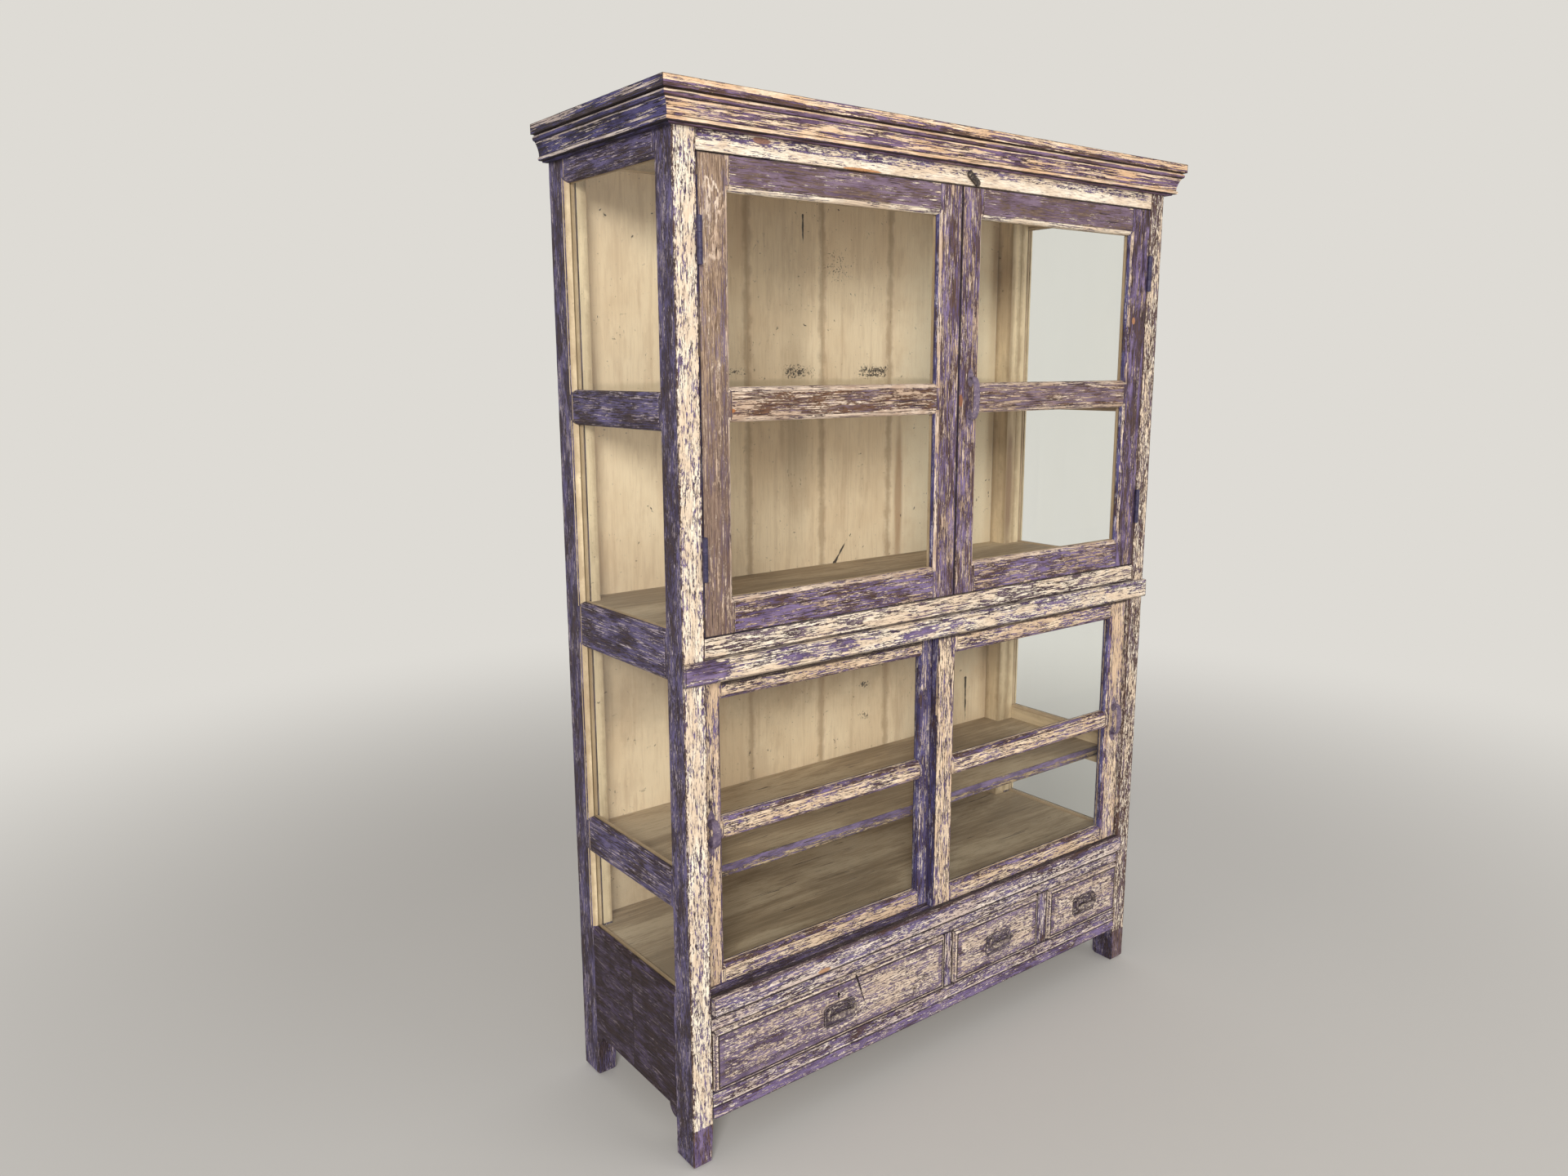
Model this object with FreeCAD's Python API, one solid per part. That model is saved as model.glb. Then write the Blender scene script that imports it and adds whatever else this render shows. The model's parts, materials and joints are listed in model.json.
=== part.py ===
"""Glazed display cabinet: two hinged doors over two sliding doors over three drawers.

Lengths are in millimetres.  Everything is drawn in a working frame with X to the
right along the front, Y from the front faces of the posts towards the back and Z
up from the floor.  save() moves each piece so that the origin ends up on the
floor under the middle of the cabinet's outline.
"""
import FreeCAD, Part
import math
import os
from FreeCAD import Vector

# Carcass
cabinet_width = 1325.0
cabinet_depth = 440.0
post_width = 47.0
post_depth = 61.0
post_arris = 1.5
rail_thickness = 25.0
side_thickness = 25.0
tenon_length = 28.0
tenon_thickness = 8.0
tenon_setback = 8.5
tenon_shoulder = 12.0

# Heights of the zones of the front, from the floor up
foot_height = 92.0
bottom_rail_height = 53.0
drawer_opening_height = 132.0
sill_height = 69.0
slider_opening_height = 613.0
waist_height = 82.0
door_opening_height = 818.0
frieze_height = 34.0
cornice_height = 67.0

# Feet
foot_taper = 7.0
foot_bevel = 6.0

# Cornice, from its top edge down
cornice_overhang = 34.0
cornice_fascia = 19.0
cornice_step = 1.5
cornice_torus = 10.5
cornice_torus_overhang = 30.5
cornice_face_top_overhang = 26.0
cornice_face_low_overhang = 18.0
cornice_bead = 7.0
cornice_bead_overhang = 21.0
cornice_soffit = 2.5
cornice_soffit_overhang = 12.0
cornice_round = 2.0
top_board_thickness = 18.0

# Moulded inner edges of the frames, and what holds the glass
sticking = 9.0
sticking_fillet = 1.5
sticking_land = 1.5
sticking_swell = 1.55
glass_thickness = 3.0
glass_rebate = 8.0
glass_slack = 0.5
bead_chamfer = 4.0

# Front mouldings and rails
waist_moulding_height = 42.0
waist_moulding_projection = 10.0
waist_moulding_round = 3.0
sill_nosing_height = 35.0
sill_nosing_projection = 12.0
sill_nosing_round = 6.0
sill_cove = 9.0
rail_step_height = 17.0
rail_step_projection = 2.5

# Sides
side_waist_rail_height = 93.0
side_mid_rail_height = 67.0
side_mid_rail_drop = 11.0
side_low_rail_height = 80.0
side_low_rail_rise = 11.0
side_top_rail_height = 42.0
side_panel_drop = 10.0
side_panel_rise = 4.0
side_panel_joint_share = 0.5
bracket_radius = 22.0

# Hinged doors
door_thickness = 24.0
door_gap = 1.5
meeting_gap = 2.0
meeting_x = 6.0
door_hinge_stile = 64.0
door_meeting_stile = 60.0
door_top_rail = 58.0
door_mid_rail = 61.0
door_low_rail = 65.0
door_mid_rail_share = 0.497
sash_tenon_length = 36.0

# Hinges
hinge_length = 78.0
hinge_inset = 101.0
hinge_knuckle_radius = 5.0
hinge_knuckles = 3
hinge_pin_radius = 2.2
hinge_running_gap = 0.3
hinge_leaf = 18.0
hinge_leaf_thickness = 2.0
hinge_pin_end = 1.0

# Sliding doors
slider_recess = 11.0
slider_thickness = 20.0
slider_spacing = 4.4
slider_side_gap = 1.5
slider_groove_play = 0.7
slider_foot_gap = 0.3
slider_sill_groove = 4.0
slider_head_entry = 7.0
slider_lift = 5.0
slider_meeting_x = -7.0
slider_overlap = 32.0
slider_stile = 56.0
slider_top_rail = 49.0
slider_mid_rail = 44.0
slider_low_rail = 34.0
slider_mid_rail_share = 0.508

# Shelves, floors and battens
shelf_thickness = 20.0
low_shelf_thickness = 26.0
upper_shelf_setback = 64.0
low_shelf_setback = 85.0
low_shelf_share = 0.326
floor_thickness = 18.0
waist_floor_rise = 9.0
bearer_width = 18.0
bearer_height = 16.0
back_thickness = 12.0
back_rebate = 15.0
back_plank_count = 6
back_plank_bevel = 2.5
corner_batten_width = 33.0
back_rail_height = 50.0
back_rail_thickness = 22.0

# Drawers
divider_widths = (26.0, 34.0)
divider_centres = (16.5, 333.5)
divider_depth = 25.0
drawer_gap = 1.8
drawer_front_thickness = 20.0
drawer_front_proud = 6.0
drawer_front_moulding = 8.0
drawer_front_swell = 1.35
drawer_side_thickness = 12.0
drawer_side_drop = 8.0
drawer_depth = 330.0
drawer_bottom_thickness = 6.0
drawer_bottom_groove = 5.0
drawer_bottom_rise = 8.0
drawer_back_thickness = 12.0
dovetail_depth = 10.0
dovetail_count = 4
dovetail_slope_share = 0.18
dovetail_fill_share = 0.62
runner_gap = 0.3
runner_height = 16.0
runner_ledge = 12.0
guide_height = 28.0
partition_thickness = 15.0

# Drawer lock
lock_width = 50.0
lock_height = 36.0
lock_thickness = 11.0
lock_wall = 2.5
bolt_width = 20.0
bolt_thickness = 4.4
bolt_length = 22.0
bolt_play = 0.3
bolt_throw = 8.0
bolt_mortise_play = 1.0
keyhole_radius = 2.6
keyhole_slot = 2.4
keyhole_drop = 9.0

# Drawer pulls: plate and drop handle
plate_width = 80.0
plate_height = 48.0
plate_thickness = 2.0
plate_corner = 6.0
plate_lip = 1.2
plate_lip_width = 4.0
ear_radius = 4.6
ear_length = 7.0
ear_centre_x = 27.0
bail_pivot_rise = 17.0
bail_standoff = 7.8
bail_drop = 18.0
bail_arm_x = 36.0
bail_arm_width = 5.0
bail_arm_radius = 3.0
bail_pin_radius = 2.2
bail_pin_gap = 0.3
grip_radii = (4.2, 5.7, 6.2, 5.7, 4.2)

# Upright pulls on the doors: leaf plates and a bowed strap
pull_reach = 27.0
pull_strap = 4.0
pull_bends = 10
pull_strap_width = 9.0
leaf_length = 40.0
leaf_width = 19.0
leaf_thickness = 2.2
leaf_shape_shares = ((0.5, 0.0), (0.36, 0.2), (0.16, 0.42), (-0.06, 0.5), (-0.28, 0.42),
                     (-0.44, 0.22), (-0.5, 0.0))
door_pull_length = 124.0
left_pull_length = 92.0
right_pull_length = 116.0
door_pull_from_meeting = 34.0

# Turn button over the doors
button_length = 39.0
button_width = 13.0
button_thickness = 5.0
button_bends = 6
button_boss = 1.3
button_boss_radius = 5.0
button_clearance = 0.2
button_x = 31.0
button_rise = 13.5
button_tilt = 55.0
screw_radius = 2.3
screw_play = 0.3
screw_head_radius = 4.6
screw_crown_radius = 3.0
screw_head_height = 2.2
screw_length = 16.0
screw_slot = 1.0

# Helpers for cutting and rounding
overrun = 5.0
round_sides = 12
tiny = 1e-6

# Levels worked out from the zones
drawer_z0 = foot_height + bottom_rail_height
drawer_z1 = drawer_z0 + drawer_opening_height
slider_z0 = drawer_z1 + sill_height
slider_z1 = slider_z0 + slider_opening_height
door_z0 = slider_z1 + waist_height
door_z1 = door_z0 + door_opening_height
cornice_z0 = door_z1 + frieze_height
cabinet_height = cornice_z0 + cornice_height
board_z0 = cabinet_height - top_board_thickness

# Places worked out from the sizes
half_width = cabinet_width / 2
opening_half = half_width - post_width
inner_half = half_width - side_thickness
back_face = cabinet_depth - back_thickness
outline_depth = cornice_overhang + cabinet_depth
to_origin = Vector(0, cornice_overhang - outline_depth / 2, 0)
glass_seat = sticking_fillet + sticking + sticking_land
knuckle_y = -(hinge_knuckle_radius + hinge_running_gap)
front_slider_y = slider_recess
rear_slider_y = slider_recess + slider_thickness + slider_spacing
X_AXIS = Vector(1, 0, 0)
Y_AXIS = Vector(0, 1, 0)
Z_AXIS = Vector(0, 0, 1)
ORIGIN = Vector(0, 0, 0)


def box(x0, x1, y0, y1, z0, z1):
    return Part.makeBox(x1 - x0, y1 - y0, z1 - z0, Vector(x0, y0, z0))


def cylinder(radius, start, end):
    return Part.makeCylinder(radius, (end - start).Length, start, end - start)


def ring(centre, radius, along, across):
    """Corners of a regular many-sided outline square to along, the first half a side off across."""
    other = Vector(along).cross(across).normalize()
    corners = []
    for i in range(round_sides):
        turn = 2 * math.pi * (i + 1 / 2) / round_sides
        corners.append(centre + across * (radius * math.cos(turn)) + other * (radius * math.sin(turn)))
    return corners


def prism(radius, start, end, across):
    """Many-sided bar from start to end."""
    corners = ring(start, radius, end - start, across)
    return outline(corners[0], *corners[1:]).extrude(end - start)


def tapered(centres, radii, across):
    """Many-sided bar through several sizes along a straight line."""
    along = centres[-1] - centres[0]
    rings = []
    for centre, radius in zip(centres, radii):
        corners = ring(centre, radius, along, across)
        rings.append(Part.makePolygon(corners + corners[:1]))
    return Part.makeLoft(rings, True, True)


def arc_to(centre, here, end):
    """Middle and end of the arc from here to end round a centre."""
    radius = (here - centre).Length
    middle = centre + ((here - centre) + (end - centre)).normalize() * radius
    return middle, end


def outline(start, *steps):
    """Face inside a closed outline; a step is an end point or (middle, end) of an arc."""
    edges = []
    here = start
    for step in steps + (start,):
        if isinstance(step, tuple):
            edges.append(Part.Arc(here, step[0], step[1]).toShape())
            here = step[1]
        elif (step - here).Length > tiny:
            edges.append(Part.makeLine(here, step))
            here = step
    return Part.Face(Part.Wire(edges))


def mirror(shape):
    return shape.mirror(ORIGIN, X_AXIS)


def cut_all(shape, tools):
    return shape.cut(tools) if tools else shape


def solids_of(shapes):
    return [solid for shape in shapes for solid in shape.Solids]


def save(name, *shapes):
    """Write one piece, or a group of like pieces, as parts/NAME.step."""
    group = Part.makeCompound(solids_of(shapes))
    group.translate(to_origin)
    group.exportStep(f"parts/{name}.step")


# Frames with moulded openings

def opening_half_prism(low, high, thickness, grooved, point, sweep):
    """Void of a moulded opening between low and high, swept the other way.

    point(across, depth) places the outline and sweep is the extrusion.  From the
    face inwards: the quarter-round edge, the sight size, then the glass rebate,
    or a groove for the glass.
    """
    round_depth = sticking_fillet + sticking
    groove_end = glass_seat + glass_thickness + glass_slack if grooved else thickness

    def side(edge, outward):
        """Levels across the opening, and the start, middle and end of the round."""
        wide = edge + outward * sticking
        deep = edge + outward * glass_rebate
        middle = point((wide + edge) / 2 - outward * sticking_swell,
                       sticking_fillet + sticking / 2 - sticking_swell)
        return wide, deep, point(wide, sticking_fillet), middle, point(edge, round_depth)

    wide, deep, start, middle, end = side(high, 1)
    steps = [point(wide, -overrun), start, (middle, end), point(high, glass_seat),
             point(deep, glass_seat), point(deep, groove_end)]
    if grooved:
        steps += [point(high, groove_end), point(high, thickness + overrun)]
    wide, deep, start, middle, end = side(low, -1)
    if grooved:
        steps += [point(low, thickness + overrun), point(low, groove_end)]
    steps += [point(deep, groove_end), point(deep, glass_seat), point(low, glass_seat), end,
              (middle, start)]
    return outline(point(wide, -overrun), *steps).extrude(sweep)


def moulded_opening(x0, x1, z0, z1, y0, thickness, grooved=False):
    """Cutter for one glazed opening whose face is at y0, with mitred moulding."""
    reach = sticking + overrun
    across = opening_half_prism(
        x0, x1, thickness, grooved,
        lambda a, depth: Vector(a, y0 + depth, z0 - reach), Z_AXIS * (z1 - z0 + 2 * reach))
    upright = opening_half_prism(
        z0, z1, thickness, grooved,
        lambda a, depth: Vector(x0 - reach, y0 + depth, a), X_AXIS * (x1 - x0 + 2 * reach))
    return across.common(upright)


def pane(x0, x1, z0, z1, y0):
    """Sheet of glass seated in the rebate of the opening."""
    edge = glass_rebate - glass_slack
    return box(x0 - edge, x1 + edge, y0 + glass_seat, y0 + glass_seat + glass_thickness,
               z0 - edge, z1 + edge)


def glazing_beads(x0, x1, z0, z1, y0, thickness):
    """Four chamfered strips that hold the glass from behind."""
    near = y0 + glass_seat + glass_thickness
    far = y0 + thickness
    deep = glass_rebate
    chamfer = bead_chamfer

    def strip(point, sweep):
        return outline(point(0, near), point(deep, near), point(deep, far - chamfer),
                       point(deep - chamfer, far), point(0, far)).extrude(sweep)

    long_sweep = X_AXIS * (x1 - x0 + 2 * deep)
    short_sweep = Z_AXIS * (z1 - z0)
    return [strip(lambda a, y: Vector(x0 - deep, y, z0 - deep + a), long_sweep),
            strip(lambda a, y: Vector(x0 - deep, y, z1 + deep - a), long_sweep),
            strip(lambda a, y: Vector(x0 - deep + a, y, z0), short_sweep),
            strip(lambda a, y: Vector(x1 + deep - a, y, z0), short_sweep)]


def rail_tenons(x0, x1, y0, z0, z1, length):
    """Tenons at both ends of a rail whose shoulders are at x0 and x1."""
    near = y0 + tenon_setback
    low = z0 + tenon_shoulder
    high = z1 - tenon_shoulder
    return [box(x0 - length, x0, near, near + tenon_thickness, low, high),
            box(x1, x1 + length, near, near + tenon_thickness, low, high)]


def sash(x0, x1, y0, thickness, left, right, rail_levels, grooved):
    """Glazed frame: stiles, rails, panes and beads.

    rail_levels lists each rail's lower and upper edge from the bottom up.
    """
    inner0 = x0 + left
    inner1 = x1 - right
    z0 = rail_levels[0][0]
    z1 = rail_levels[-1][1]
    sights = [(inner0, inner1, low[1], high[0]) for low, high in zip(rail_levels, rail_levels[1:])]
    voids = [moulded_opening(*sight, y0, thickness, grooved) for sight in sights]
    rails = []
    tenons = []
    for low, high in rail_levels:
        ends = rail_tenons(inner0, inner1, y0, low, high, sash_tenon_length)
        rail = box(inner0, inner1, y0, y0 + thickness, low, high)
        rails.append(cut_all(rail, voids).multiFuse(ends))
        tenons += ends
    stiles = [cut_all(box(x0, inner0, y0, y0 + thickness, z0, z1), voids + tenons),
              cut_all(box(inner1, x1, y0, y0 + thickness, z0, z1), voids + tenons)]
    glass = [pane(*sight, y0) for sight in sights]
    beads = []
    if not grooved:
        for sight in sights:
            beads += glazing_beads(*sight, y0, thickness)
    return {"stiles": stiles, "rails": rails, "glass": glass, "beads": beads}


# Hinges

def knuckle_bands(z0):
    """Lower and upper level of each knuckle, from the bottom up."""
    height = hinge_length / hinge_knuckles
    return [(z0 + i * height, z0 + (i + 1) * height) for i in range(hinge_knuckles)]


def hinge_leaf_solid(axis_x, face_x, toward, z0, bands, bore):
    """One leaf: its plate lies against the wood on the toward side of face_x."""
    inside = face_x + toward * hinge_leaf_thickness
    left, right = min(face_x, inside), max(face_x, inside)
    leaf = box(left, right, hinge_running_gap, hinge_leaf, z0, z0 + hinge_length)
    for low, high in bands:
        knuckle = prism(hinge_knuckle_radius, Vector(axis_x, knuckle_y, low),
                        Vector(axis_x, knuckle_y, high), X_AXIS)
        tab = box(left, right, knuckle_y, hinge_running_gap, low, high)
        leaf = leaf.fuse(knuckle).fuse(tab)
    hole = cylinder(bore, Vector(axis_x, knuckle_y, z0 - overrun),
                    Vector(axis_x, knuckle_y, z0 + hinge_length + overrun))
    return leaf.cut(hole).removeSplitter()


def leaf_recess(face_x, toward, z0):
    """Cut in the wood that takes a leaf flush."""
    inside = face_x + toward * hinge_leaf_thickness
    return box(min(face_x, inside), max(face_x, inside), -overrun, hinge_leaf,
               z0, z0 + hinge_length)


def hinge_pin(axis_x, z0):
    return cylinder(hinge_pin_radius, Vector(axis_x, knuckle_y, z0 - hinge_pin_end),
                    Vector(axis_x, knuckle_y, z0 + hinge_length + hinge_pin_end))


def hinge_levels():
    door_low = door_z0 + door_gap
    door_high = door_z1 - door_gap
    return (door_low + hinge_inset, door_high - hinge_inset - hinge_length)


def left_hinges():
    """Frame leaves, door leaves and pins of the left-hand door."""
    post_face = -opening_half
    door_face = post_face + door_gap
    axis_x = post_face + door_gap / 2
    frame, moving, pins = [], [], []
    for z0 in hinge_levels():
        bands = knuckle_bands(z0)
        moving_bands = [(low + hinge_running_gap, high - hinge_running_gap)
                        for low, high in bands[1::2]]
        frame.append(hinge_leaf_solid(axis_x, post_face, -1, z0, bands[0::2], hinge_pin_radius))
        moving.append(hinge_leaf_solid(axis_x, door_face, 1, z0, moving_bands,
                                       hinge_pin_radius + hinge_running_gap))
        pins.append(hinge_pin(axis_x, z0))
    return frame, moving, pins


# Carcass

def side_levels():
    """Lower and upper edge of each side member from the bottom panel up."""
    mid_centre = upper_shelf_centre() - side_mid_rail_drop
    low_centre = low_shelf_centre() + side_low_rail_rise
    return [(foot_height - side_panel_drop, slider_z0 + side_panel_rise),
            (low_centre - side_low_rail_height / 2, low_centre + side_low_rail_height / 2),
            (slider_z1, slider_z1 + side_waist_rail_height),
            (mid_centre - side_mid_rail_height / 2, mid_centre + side_mid_rail_height / 2),
            (cornice_z0 - side_top_rail_height, board_z0)]


def door_rail_levels():
    low = door_z0 + door_gap
    high = door_z1 - door_gap
    centre = low + door_mid_rail_share * (high - low)
    return [(low, low + door_low_rail),
            (centre - door_mid_rail / 2, centre + door_mid_rail / 2),
            (high - door_top_rail, high)]


def slider_rail_levels():
    low = slider_z0 - slider_sill_groove + slider_foot_gap
    high = slider_z1 + slider_head_entry
    centre = slider_z0 + slider_mid_rail_share * (slider_z1 - slider_z0)
    return [(low, slider_z0 + slider_low_rail),
            (centre - slider_mid_rail / 2, centre + slider_mid_rail / 2),
            (slider_z1 - slider_top_rail, high)]


def upper_shelf_centre():
    low, high = door_rail_levels()[1]
    return (low + high) / 2


def low_shelf_centre():
    """The lower shelf hides behind the low side rail, under the sliders' middle rail."""
    return slider_z0 + low_shelf_share * slider_opening_height


def to_left_side(shape):
    """Turn a frame drawn facing the front, with X from -depth to 0, to face left."""
    turned = shape.copy()
    turned.rotate(ORIGIN, Z_AXIS, -90)
    turned.translate(Vector(-half_width, 0, 0))
    return turned


def left_side():
    """Rails, bottom panel, panes, beads, and what the posts are cut with."""
    x0 = -(cabinet_depth - post_depth)
    x1 = -post_depth
    levels = side_levels()
    sights = [(x0, x1, low[1], high[0]) for low, high in zip(levels, levels[1:])]
    voids = [moulded_opening(*sight, 0, side_thickness) for sight in sights]
    members, tenons, glass, beads = [], [], [], []
    for low, high in levels:
        ends = rail_tenons(x0, x1, 0, low, high, tenon_length)
        member = cut_all(box(x0, x1, 0, side_thickness, low, high), voids)
        members.append((member, ends))
        tenons += ends
    rails = [member.multiFuse(ends) for member, ends in members[1:]]
    panel, panel_ends = members[0]
    panel = panel.cut(bracket_void(x0, x1, levels[0][0]))
    joint_x = x0 + side_panel_joint_share * (x1 - x0)
    halves = [panel.common(box(x0, joint_x, -overrun, side_thickness + overrun, *levels[0])),
              panel.common(box(joint_x, x1, -overrun, side_thickness + overrun, *levels[0]))]
    boards = [half.fuse(end) for half, end in zip(halves, panel_ends)]
    for sight in sights:
        glass.append(pane(*sight, 0))
        beads += glazing_beads(*sight, 0, side_thickness)
    groups = {"rails": rails, "panel": boards, "glass": glass, "beads": beads,
              "cutters": voids + tenons}
    return {key: [to_left_side(shape) for shape in shapes] for key, shapes in groups.items()}


def bracket_void(x0, x1, z0):
    """Cut that leaves a small curved bracket at each end of the panel's lower edge."""
    radius = bracket_radius
    top = z0 + radius
    near = -overrun
    a = Vector(x0 + radius, near, top)
    b = Vector(x1 - radius, near, top)
    left_foot = Vector(x0, near, z0)
    right_foot = Vector(x1, near, z0)
    face = outline(left_foot, arc_to(Vector(x0, near, top), left_foot, a),
                   b, arc_to(Vector(x1, near, top), b, right_foot),
                   Vector(x1, near, z0 - overrun), Vector(x0, near, z0 - overrun))
    return face.extrude(Y_AXIS * (side_thickness + 2 * overrun))


def post_blank(x0, y0, inner):
    """Square post with eased arrises, tapered and bevelled at the foot.

    inner is the direction along X of the side that tapers.
    """
    x1 = x0 + post_width
    y1 = y0 + post_depth
    blank = box(x0, x1, y0, y1, 0, board_z0)
    bottom_edges = [edge for edge in blank.Edges if edge.BoundBox.ZMax < tiny]
    blank = blank.makeChamfer(foot_bevel, bottom_edges)
    for x, y in ((x0, y0), (x1, y0), (x1, y1), (x0, y1)):
        blank = blank.cut(arris_cut(x, y))
    edge = x1 if inner > 0 else x0
    wedge = outline(Vector(edge, y0 - overrun, foot_height),
                    Vector(edge - inner * foot_taper, y0 - overrun, 0),
                    Vector(edge - inner * foot_taper, y0 - overrun, -overrun),
                    Vector(edge + inner * overrun, y0 - overrun, -overrun),
                    Vector(edge + inner * overrun, y0 - overrun, foot_height))
    return blank.cut(wedge.extrude(Y_AXIS * (post_depth + 2 * overrun)))


def arris_cut(x, y):
    """Diamond prism that eases one upright arris."""
    reach = post_arris
    face = outline(Vector(x - reach, y, -overrun), Vector(x, y - reach, -overrun),
                   Vector(x + reach, y, -overrun), Vector(x, y + reach, -overrun))
    return face.extrude(Z_AXIS * (cabinet_height + 2 * overrun))


def front_rails():
    """Frieze, waist, sill and bottom rails with their tenons."""
    x0, x1 = -opening_half, opening_half
    rails = {
        "frieze_rail": (door_z1, board_z0,
                        box(x0, x1, 0, rail_thickness, door_z1, board_z0)),
        "waist_rail": (slider_z1, door_z0, waist_beam(x0, x1)),
        "sill_rail": (drawer_z1, slider_z0, sill_beam(x0, x1)),
        "bottom_rail": (foot_height, drawer_z0, stepped_rail(x0, x1)),
    }
    finished, tenons = {}, []
    for name, (low, high, rail) in rails.items():
        ends = rail_tenons(x0, x1, 0, low, high, tenon_length)
        finished[name] = rail.multiFuse(ends)
        tenons += ends
    return finished, tenons


def slider_grooves():
    """Front and rear face of each slider's groove."""
    play = slider_groove_play
    return [(y - play, y + slider_thickness + play) for y in (front_slider_y, rear_slider_y)]


def waist_beam(x0, x1):
    """Rail between the doors, with two grooves below and a seat for the floor behind."""
    beam = box(x0, x1, 0, post_depth, slider_z1, door_z0)
    top = slider_z1 + slider_head_entry + slider_lift
    cuts = [box(x0, x1, near, far, slider_z1 - overrun, top) for near, far in slider_grooves()]
    cuts.append(box(x0, x1, rail_thickness, post_depth + overrun,
                    door_z0 + waist_floor_rise - floor_thickness, door_z0 + overrun))
    return cut_all(beam, cuts)


def sill_beam(x0, x1):
    """Rail under the sliding doors, with a groove for each."""
    beam = box(x0, x1, 0, post_depth, drawer_z1, slider_z0)
    cuts = [box(x0, x1, near, far, slider_z0 - slider_sill_groove, slider_z0 + overrun)
            for near, far in slider_grooves()]
    centre, y0, y1 = bolt_place()
    play = bolt_mortise_play
    half = bolt_width / 2 + play
    cuts.append(box(centre - half, centre + half, y0 - play, y1 + play,
                    drawer_z1 - overrun, drawer_z1 + bolt_throw + play))
    return cut_all(beam, cuts)


def stepped_rail(x0, x1):
    """Bottom rail whose lower part stands a little proud with a rounded top edge."""
    step_z = foot_height + rail_step_height
    proud = rail_step_projection
    start = Vector(x0, -proud, step_z - proud)
    end = Vector(x0, 0, step_z)
    face = outline(Vector(x0, -proud, foot_height), start,
                   arc_to(Vector(x0, 0, step_z - proud), start, end),
                   Vector(x0, 0, drawer_z0), Vector(x0, rail_thickness, drawer_z0),
                   Vector(x0, rail_thickness, foot_height))
    return face.extrude(X_AXIS * (x1 - x0))


def cornice():
    """Mitred cornice on the front and both sides, cut square at the back."""
    top = cabinet_height
    torus_z = top - cornice_fascia - cornice_step
    face_z = torus_z - cornice_torus
    bead_z = cornice_z0 + cornice_soffit + cornice_bead
    soft = cornice_round
    torus_start = cornice_torus_overhang - cornice_torus / 2
    bead_start = cornice_bead_overhang - cornice_bead / 2

    def profile(point):
        """Outline from the top edge down; point(out, z) places it on one side."""
        corner = point(cornice_overhang, top - soft)
        steps = [arc_to(point(cornice_overhang - soft, top - soft),
                        point(cornice_overhang - soft, top), corner),
                 point(cornice_overhang, top - cornice_fascia),
                 point(cornice_torus_overhang - soft, top - cornice_fascia),
                 point(torus_start, torus_z),
                 (point(torus_start + cornice_torus / 2, torus_z - cornice_torus / 2),
                  point(torus_start, face_z)),
                 point(cornice_face_top_overhang, face_z)]
        hollow = (cornice_face_top_overhang - cornice_face_low_overhang) / 2
        middle_out = (cornice_face_top_overhang + cornice_face_low_overhang) / 2 - hollow / 2
        steps += [(point(middle_out, (face_z + bead_z) / 2),
                   point(cornice_face_low_overhang, bead_z)),
                  point(bead_start, bead_z),
                  (point(cornice_bead_overhang, bead_z - cornice_bead / 2),
                   point(bead_start, bead_z - cornice_bead)),
                  point(cornice_soffit_overhang, bead_z - cornice_bead),
                  point(cornice_soffit_overhang, cornice_z0)]
        return point(cornice_overhang - soft, top), steps

    back = cabinet_depth

    def front_point(out, z):
        return Vector(-half_width - cornice_overhang, -out, z)

    start, steps = profile(front_point)
    depth_prism = outline(start, *steps, Vector(start.x, back, cornice_z0),
                          Vector(start.x, back, top))
    depth_prism = depth_prism.extrude(X_AXIS * 2 * (half_width + cornice_overhang))

    def side_point(out, z):
        return Vector(-half_width - out, -cornice_overhang, z)

    start, steps = profile(side_point)
    width_half = outline(start, *steps, Vector(0, start.y, cornice_z0), Vector(0, start.y, top))
    width_half = width_half.extrude(Y_AXIS * outline_depth)
    width_prism = width_half.fuse(mirror(width_half))
    ring = depth_prism.common(width_prism)
    ring = ring.cut(box(-half_width, half_width, 0, back + overrun,
                        cornice_z0 - overrun, top + overrun))
    out = cornice_overhang + overrun
    wedge = outline(Vector(-half_width, 0, cornice_z0), Vector(half_width, 0, cornice_z0),
                    Vector(half_width + out, -out, cornice_z0),
                    Vector(-half_width - out, -out, cornice_z0))
    wedge = wedge.extrude(Z_AXIS * cornice_height)
    return [ring.common(wedge)] + solids_of([ring.cut(wedge)])


def waist_moulding():
    """Plain band with softened edges, planted across the posts and the waist rail."""
    low = slider_z1
    high = slider_z1 + waist_moulding_height
    out = -waist_moulding_projection
    soft = waist_moulding_round
    x = -half_width

    def point(y, z):
        return Vector(x, y, z)

    top_start, top_end = point(out + soft, high), point(out, high - soft)
    low_start, low_end = point(out, low + soft), point(out + soft, low)
    face = outline(point(0, high), top_start,
                   arc_to(point(out + soft, high - soft), top_start, top_end), low_start,
                   arc_to(point(out + soft, low + soft), low_start, low_end), point(0, low))
    return face.extrude(X_AXIS * cabinet_width)


def sill_moulding():
    """Nosing in front of the sill with a cove under it, between the posts."""
    high = slider_z0
    low = high - sill_nosing_height
    out = -sill_nosing_projection
    soft = sill_nosing_round
    x = -opening_half

    def point(y, z):
        return Vector(x, y, z)

    top_start, top_end = point(out + soft, high), point(out, high - soft)
    cove_start = point(out + soft / 2, low)
    cove_end = point(cove_start.y + sill_cove, low - sill_cove)
    face = outline(point(0, high), top_start,
                   arc_to(point(out + soft, high - soft), top_start, top_end),
                   point(out, low), cove_start,
                   arc_to(point(cove_start.y, cove_end.z), cove_start, cove_end),
                   point(0, low - sill_cove))
    return face.extrude(X_AXIS * 2 * opening_half)


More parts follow.
